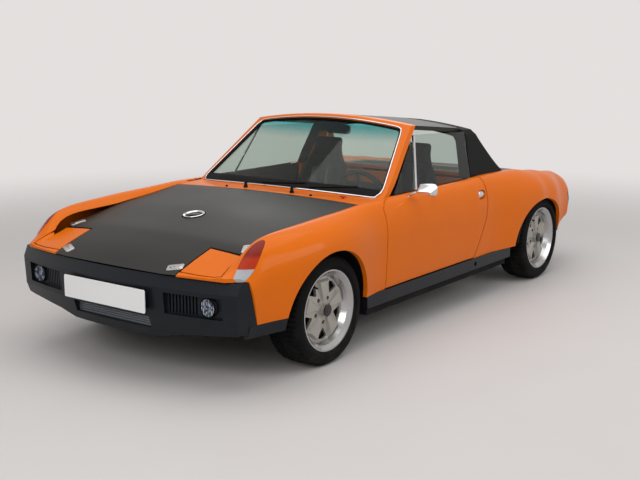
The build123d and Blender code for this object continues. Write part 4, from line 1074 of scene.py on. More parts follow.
@dataclass(frozen=True)
class WheelTrim:
    """What is fitted to a wheel: its centre cap, the studs' nuts and the valve."""

    end: End
    side: Side
    cap_radius: float = 0.0315
    stud_circle: float = 0.066
    nut_radius: float = 0.0085
    nut_depth: float = 0.046
    valve_radius: float = 0.172
    valve_depth: float = 0.024
    valve_angle: float = 126.0

    def build(self) -> None:
        """Make the trim of this wheel."""
        low, high, hub = box_of(f"wheel_{self.end}_{self.side}")
        out = self.side.sign
        hub.x = high.x if out > 0 else low.x
        body, tag = f"{self.end}_wheel_{self.side}", f"{self.end}_{self.side}"

        def ray(degrees: float, x: float, radius: float) -> Vector:
            """A vector at an angle about the axle."""
            angle = math.radians(degrees)
            return Vector((out * x, radius * math.cos(angle), radius * math.sin(angle)))

        r, s, axis = self.cap_radius, self.nut_radius, X * out
        Shape().turn([(-0.0145, r), (-0.0105, r), (-0.009, r - 0.0018), (-0.0085, r - 0.006), (-0.0095, r - 0.008),
                      (-0.008, r * 0.45), (-0.0075, 0)], hub, axis, 40).put(
            f"centre_cap_{tag}", CAP, body, "black_moulding")
        nuts = Shape()
        for i in range(5):
            nuts.turn([(-0.002, s), (0.004, s), (0.007, s * 0.75), (0.008, 0)],
                      hub + ray(self.valve_angle + 72 * i, -self.nut_depth, self.stud_circle), axis, 6)
        nuts.put(f"wheel_nuts_{tag}", DARK_STEEL, body, "wheel_alloy", sharp=20)
        Shape().turn([(-0.006, 0.0045), (0.012, 0.004), (0.013, 0.0048), (0.022, 0.0048), (0.024, 0.003), (0.024, 0)],
                     hub + ray(self.valve_angle, -self.valve_depth, self.valve_radius),
                     ray(self.valve_angle + 180, 0.9, 0.35), 12).put(f"valve_{tag}", RUBBER, body, "tyre_rubber")


@dataclass(frozen=True)
class Wheels:
    """The four tyres, and the trim on each wheel."""

    tyre_radius: float = 0.288
    tread_blocks: int = 64

    def build(self) -> None:
        """Make them all."""
        for end in End:
            for side in Side:
                Tyre(end, side, self.tyre_radius, self.tread_blocks).build()
                WheelTrim(end, side).build()


# --- Front


@dataclass(frozen=True)
class FogLamp:
    """A round fog lamp: a dark bowl with a rim, a fluted glass, and a bulb."""

    side: Side
    radius: float = 0.0465
    flutes: int = 9
    flute: float = 0.0010
    dome: float = 0.002
    rings: int = 14
    spokes: int = 64

    def build(self) -> None:
        """Make the lamp in the space of its CAD solid."""
        low, high, face = box_of("fog_lamps")
        face.x, face.y = self.side.sign * (high.x - self.radius - 0.0003), low.y
        r = self.radius
        Shape().turn([(-0.0435, 0), (-0.0435, r * 0.7), (-0.018, r), (-0.006, r), (-0.006, r - 0.003),
                      (-0.016, r - 0.004), (-0.040, r * 0.35), (-0.041, 0)], face, -Y, 48).put(
            f"fog_bowl_{self.side}", LAMP_BOWL, "body", "lamp_glass", "fog_lamps")
        Shape().turn([(-0.008, r + 0.0002), (-0.001, r + 0.0002), (0.0, r - 0.0015), (-0.001, r - 0.004),
                      (-0.004, r - 0.0045), (-0.008, r - 0.0045)], face, -Y, 48, closed=True).put(
            f"fog_rim_{self.side}", BLACK_TRIM, "body", "lamp_glass")
        self._glass(face).put(f"fog_glass_{self.side}", FOG_LENS, "body", "lamp_glass", sharp=60)
        Shape().turn([(-0.040, 0.005), (-0.026, 0.005), (-0.020, 0.0045), (-0.016, 0.002), (-0.0155, 0)], face, -Y,
                     16).put(f"fog_bulb_{self.side}", CHROME, "body", "lamp_glass")

    def _glass(self, face: Vector) -> Shape:
        """The domed glass, with flutes down its front.

        Args:
            face: The middle of the lamp's face.

        Returns:
            The glass as a closed shape.
        """
        glass, spokes, r = Shape(), self.spokes, self.radius
        for fluted, depth in ((1, 0.0), (0, -0.0028)):
            points = [face - Y * (depth - 0.0015)]
            for i in range(1, self.rings + 1):
                share = i / self.rings
                for j in range(spokes):
                    angle = 2 * math.pi * j / spokes
                    x, z = math.cos(angle) * r * 0.9 * share, math.sin(angle) * r * 0.9 * share
                    wave = self.flute * fluted * abs(math.sin(math.pi * self.flutes * x / (2 * r)))
                    points.append(face + Vector((x, 0.0035 - depth - self.dome * (1 - share ** 2) - wave, z)))
            rows = grid_faces(self.rings, spokes, wrap_columns=True)
            glass.add(points, [(0, 1 + j, 1 + (j + 1) % spokes) for j in range(spokes)]
                      + [tuple(1 + k for k in face_row) for face_row in rows])
        edge = 1 + (self.rings - 1) * spokes
        back = edge + 1 + self.rings * spokes
        glass.faces += [(edge + j, edge + (j + 1) % spokes, back + (j + 1) % spokes, back + j) for j in range(spokes)]
        return glass


@dataclass(frozen=True)
class Headlamp:
    """The round lamp under a headlight cover: bezel and glass, seen when it is up."""

    side: Side
    radius: float = 0.0615
    out: float = 0.552
    barrel: Pair = (-1.800, 0.520)
    reach: float = 0.038

    def build(self) -> None:
        """Make the lamp's front on the CAD barrel."""
        axis = (-Y - Z).normalized()
        centre = Vector((self.side.sign * self.out, *self.barrel)) + axis * self.reach
        body, r = f"headlight_{self.side}", self.radius
        Shape().turn([(-0.012, r + 0.0015), (0.001, r + 0.0015), (0.003, r - 0.001), (0.001, r - 0.006),
                      (-0.001, r - 0.007), (-0.012, r - 0.007)], centre, axis, 56, closed=True).put(
            f"headlamp_bezel_{self.side}", CHROME, body, "bright_trim")
        Shape().turn([(0.0003, r - 0.006), (0.002, r - 0.012), (0.0035, r * 0.5), (0.004, 0)], centre, axis, 56).put(
            f"headlamp_glass_{self.side}", HEADLAMP_LENS, body, "lamp_glass")


@dataclass(frozen=True)
class Latch:
    """A flush hood latch: a bright plate with a lever, its release button and two rivets."""

    name: str
    place: Pair
    turn: float
    length: float = 0.084
    width: float = 0.046

    BUTTONS = ((-0.024, 0.0045, 0.0028), (-0.004, 0.003, 0.0045), (0.020, 0.003, 0.0045))

    def build(self) -> None:
        """Make the latch on the hood's surface."""
        place, normal = drop_on("hood", *self.place)
        turn = math.radians(self.turn)
        along = Vector((math.cos(turn), math.sin(turn), 0))
        along = (along - normal * along.dot(normal)).normalized()
        across = normal.cross(along)
        base = place - normal * 0.001
        plate = Shape().slab(rounded_outline(base, along, across, self.length, self.width, 0.010), normal, 0.0035)
        plate.slab(rounded_outline(base + along * 0.006, along, across, self.length * 0.60, self.width * 0.50, 0.006),
                   normal, 0.0052)
        plate.put(f"latch_{self.name}", LATCH, "hood", "bright_trim")
        dark = Shape()
        for shift, size, lift in self.BUTTONS:
            dark.turn([(lift - 0.002, size), (lift, size), (lift + 0.0006, size * 0.7), (lift + 0.0006, 0)],
                      place + along * shift, normal, 14)
        dark.put(f"latch_screws_{self.name}", DARK_STEEL, "hood", "bright_trim")


@dataclass(frozen=True)
class Filler:
    """The fuel filler in the hood's hole: a bright ring, and a dark cap with a grip bar."""

    ring_radius: float = 0.058
    cap_radius: float = 0.043
    place_y: float = -1.363

    def build(self) -> None:
        """Make the ring and the cap on the CAD neck, square to the hood round the hole."""
        r, c = self.ring_radius, self.cap_radius
        near = [drop_on("hood", side * (r + 0.030), self.place_y) for side in (1, -1)]
        centre = (near[0][0] + near[1][0]) / 2 + Z * 0.001
        axis = (near[0][1] + near[1][1]).normalized()
        Shape().turn([(-0.004, r - 0.012), (-0.004, r), (0.004, r + 0.001), (0.0065, r - 0.002), (0.0055, r - 0.007),
                      (0.001, r - 0.012)], centre, axis, 64, closed=True).put(
            "filler_ring", CHROME, "body", "bright_trim")
        cap = Shape().turn([(-0.016, c), (-0.006, c), (-0.004, c - 0.003), (-0.0045, c * 0.5), (-0.004, 0)], centre,
                           axis, 48)
        cap.slab(rounded_outline(centre - Z * 0.006, Vector((0.8, 0.6, 0)), Vector((-0.6, 0.8, 0)), 0.066, 0.013,
                                 0.006), axis, 0.010, 0.003)
        cap.put("filler_cap", LAMP_BOWL, "body", "bright_trim")


@dataclass(frozen=True)
class FrontEnd:
    """Small parts at the nose: lamps, latches, filler, the plate's rim and the cooler's fins."""

    front_latch: Point = (0.385, -1.897, 28.0)
    rear_latch: Point = (0.612, -1.640, -60.0)
    plate_margin: float = 0.006
    fins: int = 60
    fin_rows: int = 4
    fin_width: float = 0.0016
    tube_radius: float = 0.0028

    def build(self) -> None:
        """Make them all."""
        for side in Side:
            FogLamp(side).build()
            Headlamp(side).build()
            for end, (x, y, turn) in zip(End, (self.front_latch, self.rear_latch)):
                Latch(f"{end}_{side}", (side.sign * x, y), side.sign * turn).build()
        Filler().build()
        self._plate()
        self._cooler()

    def _plate(self) -> None:
        """The blank plate's raised edge."""
        low, high, face = box_of("front_plate")
        face.x, face.y = 0.0, low.y
        path = rounded_outline(face, X, Z, high.x - low.x - self.plate_margin, high.z - low.z - self.plate_margin,
                               0.008)
        Shape().sweep(path, flat_section(0.0022, 0.0012), -Y, closed=True).put(
            "plate_rim", PLATE, "body", "plate_white")

    def _cooler(self) -> None:
        """Fins and tubes on the face of the oil cooler."""
        low, high, _ = box_of("oil_cooler")
        fins, pitch = Shape(), (high.z - low.z - 0.014) / self.fin_rows
        tall = (high.z - low.z) / self.fin_rows - 0.006
        for i in range(self.fins):
            x = low.x + 0.008 + (high.x - low.x - 0.016) * i / (self.fins - 1)
            for row in range(self.fin_rows):
                middle = Vector((x, low.y + 0.0005, low.z + 0.010 + pitch * row + tall / 2))
                fins.slab(rounded_outline(middle, X, Z, self.fin_width, tall, 0.0004, 1), -Y, 0.004, 0.0003)
        for row in range(self.fin_rows + 1):
            fins.sweep([(x, low.y - 0.002, low.z + 0.007 + pitch * row)
                        for x in (low.x + 0.004, 0, high.x - 0.004)], circle_section(self.tube_radius, 8))
        fins.put("cooler_fins", COOLER, "body", "cooler_alloy")


# --- Windscreen, cowl and mirrors


@dataclass(frozen=True)
class Wiper:
    """A wiper: spindle cap, sprung arm and rubber blade."""

    name: str
    pivot: Pair
    tip: Point
    height: float = 0.812

    def build(self, normal: Vector) -> None:
        """Make the wiper between its pivot on the cowl and the glass.

        Args:
            normal: The glass's outward normal.
        """
        base, tip = Vector((*self.pivot, self.height)), Vector(self.tip)
        root, _ = drop_on("cowl", *self.pivot)
        rise = base.z - root.z
        metal = Shape().turn([(0.0, 0.0135), (0.010, 0.012), (0.016, 0.009), (rise + 0.003, 0.008),
                              (rise + 0.008, 0.005), (rise + 0.009, 0)], root, Z, 20)
        metal.sweep(smooth_path([base, base.lerp(tip, 0.25) + Z * 0.004, base.lerp(tip, 0.6), tip]),
                    flat_section(0.011, 0.0055), normal)
        start, end = base.lerp(tip, 0.30) + normal * 0.002, tip + (tip - base).normalized() * 0.02
        spine = [start.lerp(end, i / 10) + Vector((0, -0.012, 0.004)) - normal * 0.003 for i in range(11)]
        metal.sweep(spine, flat_section(0.007, 0.006), normal)
        metal.put(f"wiper_{self.name}", BLACK_TRIM, "body", "bright_trim", "wipers")
        Shape().sweep([p - normal * 0.006 for p in spine], flat_section(0.004, 0.009), normal).put(
            f"wiper_blade_{self.name}", RUBBER, "body", "tyre_rubber")


@dataclass(frozen=True)
class Windscreen:
    """Trim round the glass, the wipers, the washers, the isolator's pull and the inside mirror."""

    low_corner: Pair = (0.662, 0.792)
    high_corner: Pair = (0.536, 1.122)
    sill: float = 0.812
    crown: float = 1.165
    seal_low: float = 0.017
    seal_side: float = 0.002
    strip: Pair = (0.0070, 0.0042)
    washers: Pair = (-0.300, 0.330)
    washer_y: float = -0.765
    pull: Pair = (0.520, -0.720)
    mirror: Point = (0.0, -0.035, 1.085)
    mirror_faces: Point = (0.12, 1, -0.12)

    FRAME, PANE = "windscreen_frame", "windscreen"

    def build(self) -> None:
        """Make them all."""
        self._trim()
        normal = face_on(self.PANE, 0.2, 0.86)[1]
        Wiper("right", (-0.170, -0.742), (0.230, -0.700, 0.836)).build(normal)
        Wiper("left", (0.185, -0.752), (0.560, -0.650, 0.836)).build(normal)
        self._cowl_parts()
        self._inner_mirror()

    def _outline(self) -> list[Vector]:
        """The opening from the front as (x, 0, z) points, with its corners rounded.

        Returns:
            The points of the loop.
        """
        (low_x, low_z), (high_x, high_z) = self.low_corner, self.high_corner

        def arc(half: float, corner: float, middle: float, count: int, way: float) -> list[Vector]:
            """A bowed edge from one corner nearly to the other."""
            shares = [way * (2 * i / count - 1) for i in range(count)]
            return [Vector((half * s, 0, corner + (middle - corner) * (1 - s * s))) for s in shares]

        def line(x: float, z: float, end_x: float, end_z: float, count: int = 16) -> list[Vector]:
            """A straight edge from one corner nearly to the other."""
            shares = [i / count for i in range(count)]
            return [Vector((x + (end_x - x) * t, 0, z + (end_z - z) * t)) for t in shares]

        loop = (arc(low_x, low_z, self.sill, 60, 1) + line(low_x, low_z, high_x, high_z)
                + arc(high_x, high_z, self.crown, 50, -1) + line(-high_x, high_z, -low_x, low_z))
        for _ in range(2):
            loop = [(loop[i - 1] + p * 2 + loop[(i + 1) % len(loop)]) / 4 for i, p in enumerate(loop)]
        return loop

    def _trim(self) -> None:
        """The rubber seal from the frame's face down to the glass, and the bright strip on its outer edge."""
        loop = self._outline()
        rings, strip, overs = [], [], []
        for i, p in enumerate(loop):
            along = (loop[(i + 1) % len(loop)] - loop[i - 1]).normalized()
            out = Vector((along.z, 0, -along.x))
            wide = self.seal_side + (self.seal_low - self.seal_side) * max(0.0, -out.z) ** 3
            edge = wide + 0.0045
            ring = []
            for node, shift, lift in (
                    (self.FRAME, edge, 0.0004), (self.FRAME, edge, 0.0022), (self.FRAME, 0.0022, 0.0030),
                    (self.PANE, -0.0060, 0.0110), (self.PANE, -0.0130, 0.0060), (self.PANE, -0.0150, 0.0010),
                    (self.PANE, -0.0150, -0.0010), (self.FRAME, 0.0032, -0.0150), (self.FRAME, edge, -0.0010)):
                place, normal = face_on(node, p.x + out.x * shift, p.z + out.z * shift, out if shift > 0 else -out)
                ring.append(place + normal * lift)
            rings.append(ring)
            place, normal = face_on(self.FRAME, p.x + out.x * (edge - 0.001), p.z + out.z * (edge - 0.001), out)
            strip.append(place + normal * 0.0030)
            overs.append(normal)
        Shape().loft(rings, True).put("windscreen_seal", RUBBER, "body", "tyre_rubber", sharp=40)
        Shape().sweep(strip, flat_section(*self.strip), overs, closed=True).put(
            "windscreen_trim", CHROME, "body", "bright_trim", sharp=40)

    def _cowl_parts(self) -> None:
        """Washer nozzles and the isolator's pull."""
        nozzles = Shape()
        for x in self.washers:
            nozzles.turn([(-0.001, 0.009), (0.002, 0.009), (0.006, 0.0065), (0.009, 0.004), (0.0095, 0)],
                         *drop_on("cowl", x, self.washer_y), 18)
        nozzles.put("washer_nozzles", BLACK_TRIM, "body", "black_moulding")
        place, normal = drop_on("cowl", *self.pull)
        pull = Shape().turn([(0.0, 0.009), (0.004, 0.009), (0.006, 0.005), (0.010, 0.0045), (0.011, 0)], place, normal,
                            18)
        across = Vector((1, 0.15, 0)).normalized()
        pull.slab(rounded_outline(place + normal * 0.009, across, normal.cross(across), 0.042, 0.013, 0.006), normal,
                  0.006, 0.002)
        pull.put("isolator_pull", RED_PLASTIC, "body", "black_moulding")

    def _inner_mirror(self) -> None:
        """The inside mirror under the header."""
        centre, normal = Vector(self.mirror), Vector(self.mirror_faces).normalized()
        across = normal.cross(Z).normalized()
        over = across.cross(normal)
        head = Shape().loft([rounded_outline(centre + normal * depth, across, over, width, height, height * 0.4, 6)
                             for depth, width, height in ((0.0, 0.200, 0.052), (-0.010, 0.204, 0.056),
                                                          (-0.018, 0.17, 0.036))])
        head.sweep(smooth_path([centre + normal * -0.012, centre + Vector((0, -0.02, 0.03)),
                                centre + Vector((0, -0.026, 0.060))], 5), circle_section(0.006, 10), X)
        head.put("inside_mirror", BLACK_TRIM, "body", "black_moulding")
        Shape().slab(rounded_outline(centre + normal * 0.0004, across, over, 0.188, 0.042, 0.016, 6), normal, 0.0008,
                     0.0003).put("inside_mirror_glass", MIRROR, "body", "bright_trim")


@dataclass(frozen=True)
class DoorMirror:
    """The driver's mirror: a bright housing that widens outward, its glass and its stalk."""

    inner_x: float = 0.776
    middle_z: float = 0.809
    drop: float = 0.014
    inner_half: Pair = (0.018, 0.010)
    outer_half: Pair = (0.026, 0.013)
    foot: Point = (0.741, -0.399, 0.766)
    stalk: tuple[Point, ...] = ((0.742, -0.398, 0.770), (0.775, -0.392, 0.788), (0.815, -0.380, 0.800))

    def build(self) -> None:
        """Make the mirror in the space of its CAD solid."""
        low, high, _ = box_of("mirror")
        front, back, outer = low.y + 0.004, high.y - 0.002, high.x - 0.001
        rings = []
        for share, y in ((0.0, front), (0.30, front + 0.012), (0.75, back - 0.014), (1.0, back - 0.003), (0.985, back)):
            left, right = self.inner_x + 0.022 * (1 - share), outer - 0.016 * (1 - share)
            inner_h, outer_h = (base + more * share for base, more in (self.inner_half, self.outer_half))
            tall, middle = 0.40 + 0.60 * share ** 0.7, self.middle_z - self.drop * (1 - share)
            rings.append([Vector((left + (right - left) * (u + 1) / 2, y,
                                  middle + v * (inner_h + (outer_h - inner_h) * (u + 1) / 2) * tall))
                          for u, v in squared_circle(40, 0.45, 0.55)])
        house = Shape().loft(rings).sweep(smooth_path(self.stalk), circle_section(0.0062))
        house.turn([(0.0, 0.013), (0.004, 0.012), (0.007, 0.007), (0.008, 0)], self.foot, (0.2, 0, 1), 24)
        house.put("door_mirror", CHROME, "door_left", "bright_trim", "mirror", sharp=40)
        edge = [p + Y * 0.0004 for p in rings[-1]]
        middle = sum(edge, Vector()) / len(edge)
        Shape().slab([p + (middle - p).normalized() * 0.005 for p in edge], Y, 0.0008, 0.0003).put(
            "door_mirror_glass", MIRROR, "door_left", "bright_trim")


# --- Seats and cabin


def applied(piece: bpy.types.Object) -> None:
    """Turn what a piece's modifiers give into its mesh, and take the modifiers off.

    Args:
        piece: The piece.
    """
    old = piece.data
    piece.data = bpy.data.meshes.new_from_object(piece.evaluated_get(bpy.context.evaluated_depsgraph_get()))
    piece.modifiers.clear()
    bpy.data.meshes.remove(old)


def read_rows(collection: Sequence, key: str = "co") -> np.ndarray:
    """The positions, or another vector, of a mesh's vertices as rows.

    Args:
        collection: The mesh's vertices, or its vertex normals.
        key: The name of the vector to read.

    Returns:
        One row for each vertex.
    """
    flat = np.zeros(len(collection) * 3)
    collection.foreach_get(key, flat)
    return flat.reshape(-1, 3)


def inflate(piece: bpy.types.Object, voxel: float = 0.008, pressure: float = 4.0, cap: float = 0.010,
            frames: int = 20) -> None:
    """Fill a closed form with foam: remesh it, let its cover swell as cloth, then smooth it.

    Args:
        piece: The closed form, a little smaller than the pad.
        voxel: The remesh's cell size in metres.
        pressure: The pressure inside.
        cap: How far a point may move.
        frames: The simulation's steps.
    """
    remesh = piece.modifiers.new("cells", "REMESH")
    remesh.mode = "VOXEL"
    remesh.voxel_size = voxel
    applied(piece)
    rest = read_rows(piece.data.vertices)
    cloth = piece.modifiers.new("cover", "CLOTH")
    cloth.settings.quality = 4
    cloth.settings.use_pressure = True
    cloth.settings.uniform_pressure_force = pressure
    cloth.settings.effector_weights.gravity = 0.0
    cloth.point_cache.frame_end = frames
    scene = bpy.context.scene
    for step in range(1, frames + 1):
        scene.frame_set(step)
    applied(piece)
    scene.frame_set(1)
    moved = read_rows(piece.data.vertices) - rest
    length = np.linalg.norm(moved, axis=1, keepdims=True)
    moved *= np.minimum(1.0, cap / np.maximum(length, 1e-9))
    piece.data.vertices.foreach_set("co", (rest + moved).ravel())
    smooth = piece.modifiers.new("smooth", "SMOOTH")
    smooth.iterations = 3
    smooth.factor = 0.5
    piece.modifiers.new("fine", "SUBSURF").levels = 1
    applied(piece)
    piece.data.shade_smooth()


def stitch(piece: bpy.types.Object, depth: Callable[[np.ndarray, np.ndarray], np.ndarray]) -> None:
    """Pull the cover in along its sewn channels.

    Args:
        piece: The padded piece.
        depth: Called with the positions and the normals, and returns how far each point is pulled in.
    """
    places = read_rows(piece.data.vertices)
    normals = read_rows(piece.data.vertex_normals, "vector")
    places -= normals * depth(places, normals)[:, None]
    piece.data.vertices.foreach_set("co", places.ravel())
    piece.data.update()


def valley(distance: np.ndarray, width: float) -> np.ndarray:
    """A smooth groove: 1 on the line, falling off over its width."""
    return np.exp(-(distance / width) ** 2)


def fade(distance: np.ndarray, width: float) -> np.ndarray:
    """0 up to the line, then rising to 1 over its width."""
    return np.clip(distance / width, 0, 1)


def ease(value: float) -> float:
    """A soft step from 0 to 1."""
    value = max(0.0, min(1.0, value))
    return value * value * (3 - 2 * value)


@dataclass(frozen=True)
class Seat:
    """A high-backed bucket seat with bolsters, harness openings, a shell base and its belts."""

    side: Side
    offset: float = 0.345
    half_width: float = 0.205
    bolster: float = 0.034
    slot_z: float = 0.800
    slot_x: float = 0.062
    channel_pitch: float = 0.052
    channel_depth: float = 0.0042
    strap: Pair = (0.046, 0.0032)
    strap_drop: float = 0.385

    BACK_FRONT = ((0.345, 0.110), (0.830, 0.255), (1.010, 0.300))
    BACK_REAR = ((0.330, 0.210), (0.700, 0.300), (0.990, 0.366))
    WIDTHS = ((0.335, 0.186), (0.45, 0.205), (0.60, 0.207), (0.72, 0.205), (0.80, 0.190), (0.865, 0.150),
              (0.92, 0.130), (0.98, 0.122), (1.02, 0.110))
    WINGS = ((0.335, 0.6), (0.45, 1.0), (0.62, 0.9), (0.74, 1.0), (0.82, 0.7), (0.90, 0.35), (1.02, 0.25))
    BACK_ENDS = ((0.338, 0.55), (0.342, 0.80), (0.352, 0.95)), ((0.982, 0.95), (0.993, 0.82), (1.001, 0.60))
    CUSHION_TOP = ((-0.27, 0.366), (0.06, 0.318), (0.11, 0.322))
    CUSHION_LOW = ((-0.30, 0.292), (-0.20, 0.250), (0.10, 0.245))
    CUSHION_ENDS = ((-0.292, 0.50), (-0.288, 0.78), (-0.278, 0.95)), ((0.092, 0.94), (0.100, 0.80), (0.104, 0.55))

    @property
    def middle(self) -> float:
        """The seat's middle across the car."""
        return self.side.sign * self.offset

    @staticmethod
    def _at(table: Sequence[Pair], value: float) -> float:
        """The value of a table of (place, value) rows at a place between them."""
        return float(np.interp(value, *zip(*table)))

    def build(self) -> list[bpy.types.Object]:
        """Make the padded pieces.

        Returns:
            The backrest and the cushion.
        """
        return [self._back(), self._cushion()]

    def _back(self) -> bpy.types.Object:
        """The backrest with its side bolsters and head part, padded and stitched.

        Returns:
            The backrest.
        """
        rings = []
        first, last = self.BACK_ENDS
        for z, share in (*first, *((0.37 + 0.0206 * i, 1.0) for i in range(30)), *last):
            front, rear = self._at(self.BACK_FRONT, z) + 0.008, self._at(self.BACK_REAR, z) - 0.006
            wide = (self._at(self.WIDTHS, z) - 0.008) * (0.75 + 0.25 * share)
            wing = self._at(self.WINGS, z) * self.bolster
            half, middle = (rear - front) / 2 * share, (rear + front) / 2
            rings.append([Vector((self.middle + u * wide, middle + v * half + (
                0.016 - wing * ease((abs(u) - 0.50) / 0.26) if v < 0 else 0.0), z))
                for u, v in squared_circle(72, 0.7, 0.6)])
        piece = Shape().loft(rings).build(f"seat_back_{self.side}", CLOTH, 180)
        inflate(piece)

        def depth(places: np.ndarray, normals: np.ndarray) -> np.ndarray:
            """Cross channels below the slots, a welt inside each bolster and one under the head part.

            Args:
                places: The cover's points.
                normals: Their normals.

            Returns:
                How far each point is pulled in.
            """
            side, z = np.abs(places[:, 0] - self.middle), places[:, 2]
            rows = np.abs((z - 0.40) % self.channel_pitch - self.channel_pitch / 2)
            cross = self.channel_depth * valley(rows, 0.007) * fade(0.118 - side, 0.01) * fade(0.735 - z, 0.02)
            welt = 0.006 * valley(side - 0.120, 0.006) * fade(0.86 - z, 0.03)
            head = 0.005 * valley(z - 0.868, 0.006) * fade(0.115 - side, 0.01)
            return np.clip(-normals[:, 1] * 1.6, 0, 1) * (cross + welt + head)

        stitch(piece, depth)
        return piece

    def _cushion(self) -> bpy.types.Object:
        """The seat cushion with its thigh bolsters, padded and stitched.

        Returns:
            The cushion.
        """
        rings = []
        first, last = self.CUSHION_ENDS
        for y, share in (*first, *((-0.262 + 0.0212 * i, 1.0) for i in range(17)), *last):
            top, low = self._at(self.CUSHION_TOP, y) + 0.004, self._at(self.CUSHION_LOW, y)
            half, middle = (top - low) / 2 * share, (top + low) / 2
            rings.append([Vector((self.middle + u * (self.half_width - 0.008) * (0.85 + 0.15 * share), y,
                                  middle + v * half + (
                                      -0.012 + 0.034 * ease((abs(u) - 0.55) / 0.22) if v > 0 else 0.0)))
                          for u, v in squared_circle(72, 0.6, 0.55)])
        piece = Shape().loft(rings).build(f"seat_cushion_{self.side}", CLOTH, 180)
        inflate(piece)

        def depth(places: np.ndarray, normals: np.ndarray) -> np.ndarray:
            """Cross channels, and a welt inside each bolster.

            Args:
                places: The cover's points.
                normals: Their normals.

            Returns:
                How far each point is pulled in.
            """
            side = np.abs(places[:, 0] - self.middle)
            rows = np.abs((places[:, 1] + 0.25) % self.channel_pitch - self.channel_pitch / 2)
            cross = self.channel_depth * valley(rows, 0.007) * fade(0.122 - side, 0.01)
            return np.clip(normals[:, 2] * 1.6, 0, 1) * (cross + 0.006 * valley(side - 0.124, 0.006))

        stitch(piece, depth)
        return piece

    def hardware(self, back: bpy.types.Object, cushion: bpy.types.Object) -> None:
        """Make what stands on and under the pads: shell, runners, bezels and belts.

        Args:
            back: The finished backrest.
            cushion: The finished cushion.
        """
        x0 = self.middle
        base = Shape().loft([rounded_outline(Vector((x0, -0.075 + grow * 0.3, z)), X, Y, 0.372 + 2 * grow,
                                             0.368 + grow, 0.05, 5)
                             for z, grow in ((0.206, -0.020), (0.214, -0.006), (0.245, 0.0), (0.285, 0.004))])
        for side in (-1, 1):
            base.sweep([(x0 + side * 0.165, y, 0.198) for y in (-0.255, -0.05, 0.140)], flat_section(0.030, 0.014))
            base.turn([(0.0, 0.030), (0.010, 0.030), (0.013, 0.024), (0.013, 0)], (x0 + side * 0.196, 0.128, 0.318),
                      X * side, 28)
        base.put(f"seat_base_{self.side}", MOULDING, "body", "black_moulding")
        bezels, straps, metal = Shape(), Shape(), Shape()
        for side in (-1, 1):
            place, normal = meet(back, (x0 + side * self.slot_x, -1.0, self.slot_z), Y)
            along = normal.cross(X).normalized()
            bezels.sweep(rounded_outline(place + normal * 0.001, X, along, 0.074, 0.040, 0.010),
                         flat_section(0.009, 0.007), normal, closed=True)
            bezels.slab(rounded_outline(place - normal * 0.004, X, along, 0.068, 0.034, 0.008), normal, 0.005)
            path, normals = [], []
            for i in range(15):
                t = i / 14
                spot = (x0 + side * (self.slot_x - 0.022 * t), -1.0, self.slot_z - 0.004 - self.strap_drop * t)
                p, n = meet(back, spot, Y)
                path.append(p + n * (0.0035 if i else -0.001))
                normals.append(n)
            straps.sweep(path, flat_section(*self.strap), normals)
            down = (path[-1] - path[-2]).normalized()
            metal.slab(rounded_outline(path[-1] + n * 0.002 + down * 0.008, X, down, 0.038, 0.030, 0.006), n, 0.007,
                       0.002)
            metal.slab(rounded_outline(path[6] + normals[6] * 0.002, X, (path[7] - path[6]).normalized(), 0.056, 0.026,
                                       0.004), normals[6], 0.005, 0.0015)
            laps = [cast(cushion, (x0 + side * (0.020 + 0.172 * i / 12), 0.030 + 0.045 * i / 12, 2.0), -Z)
                    for i in range(13)]
            laps = [lap for lap in laps if lap]
            straps.sweep([p + n * 0.0035 for p, n in laps], flat_section(*self.strap), [n for _, n in laps])
        metal.turn([(0.003, 0.030), (0.012, 0.030), (0.016, 0.026), (0.017, 0.012), (0.017, 0)],
                   *meet(cushion, (x0, 0.026, 2.0), -Z), 32)
        bezels.put(f"harness_bezels_{self.side}", BLACK_TRIM, "body", "seat_cloth")
        straps.put(f"harness_straps_{self.side}", WEBBING, "body", "seat_cloth", sharp=50)
        metal.put(f"harness_buckles_{self.side}", BRASS, "body", "bright_trim")


def blunt_corners(corners: Sequence[Pair], cut: float = 0.008) -> list[Pair]:
    """A closed outline with each corner cut to two points.

    Args:
        corners: The outline's corners.
        cut: How far from the corner each cut starts.

    Returns:
        The outline's points.
    """
    result = []
    for i, (a, b) in enumerate(corners):
        for c, d in (corners[i - 1], corners[(i + 1) % len(corners)]):
            share = min(0.3, cut / math.hypot(c - a, d - b))
            result.append((a + (c - a) * share, b + (d - b) * share))
    return result


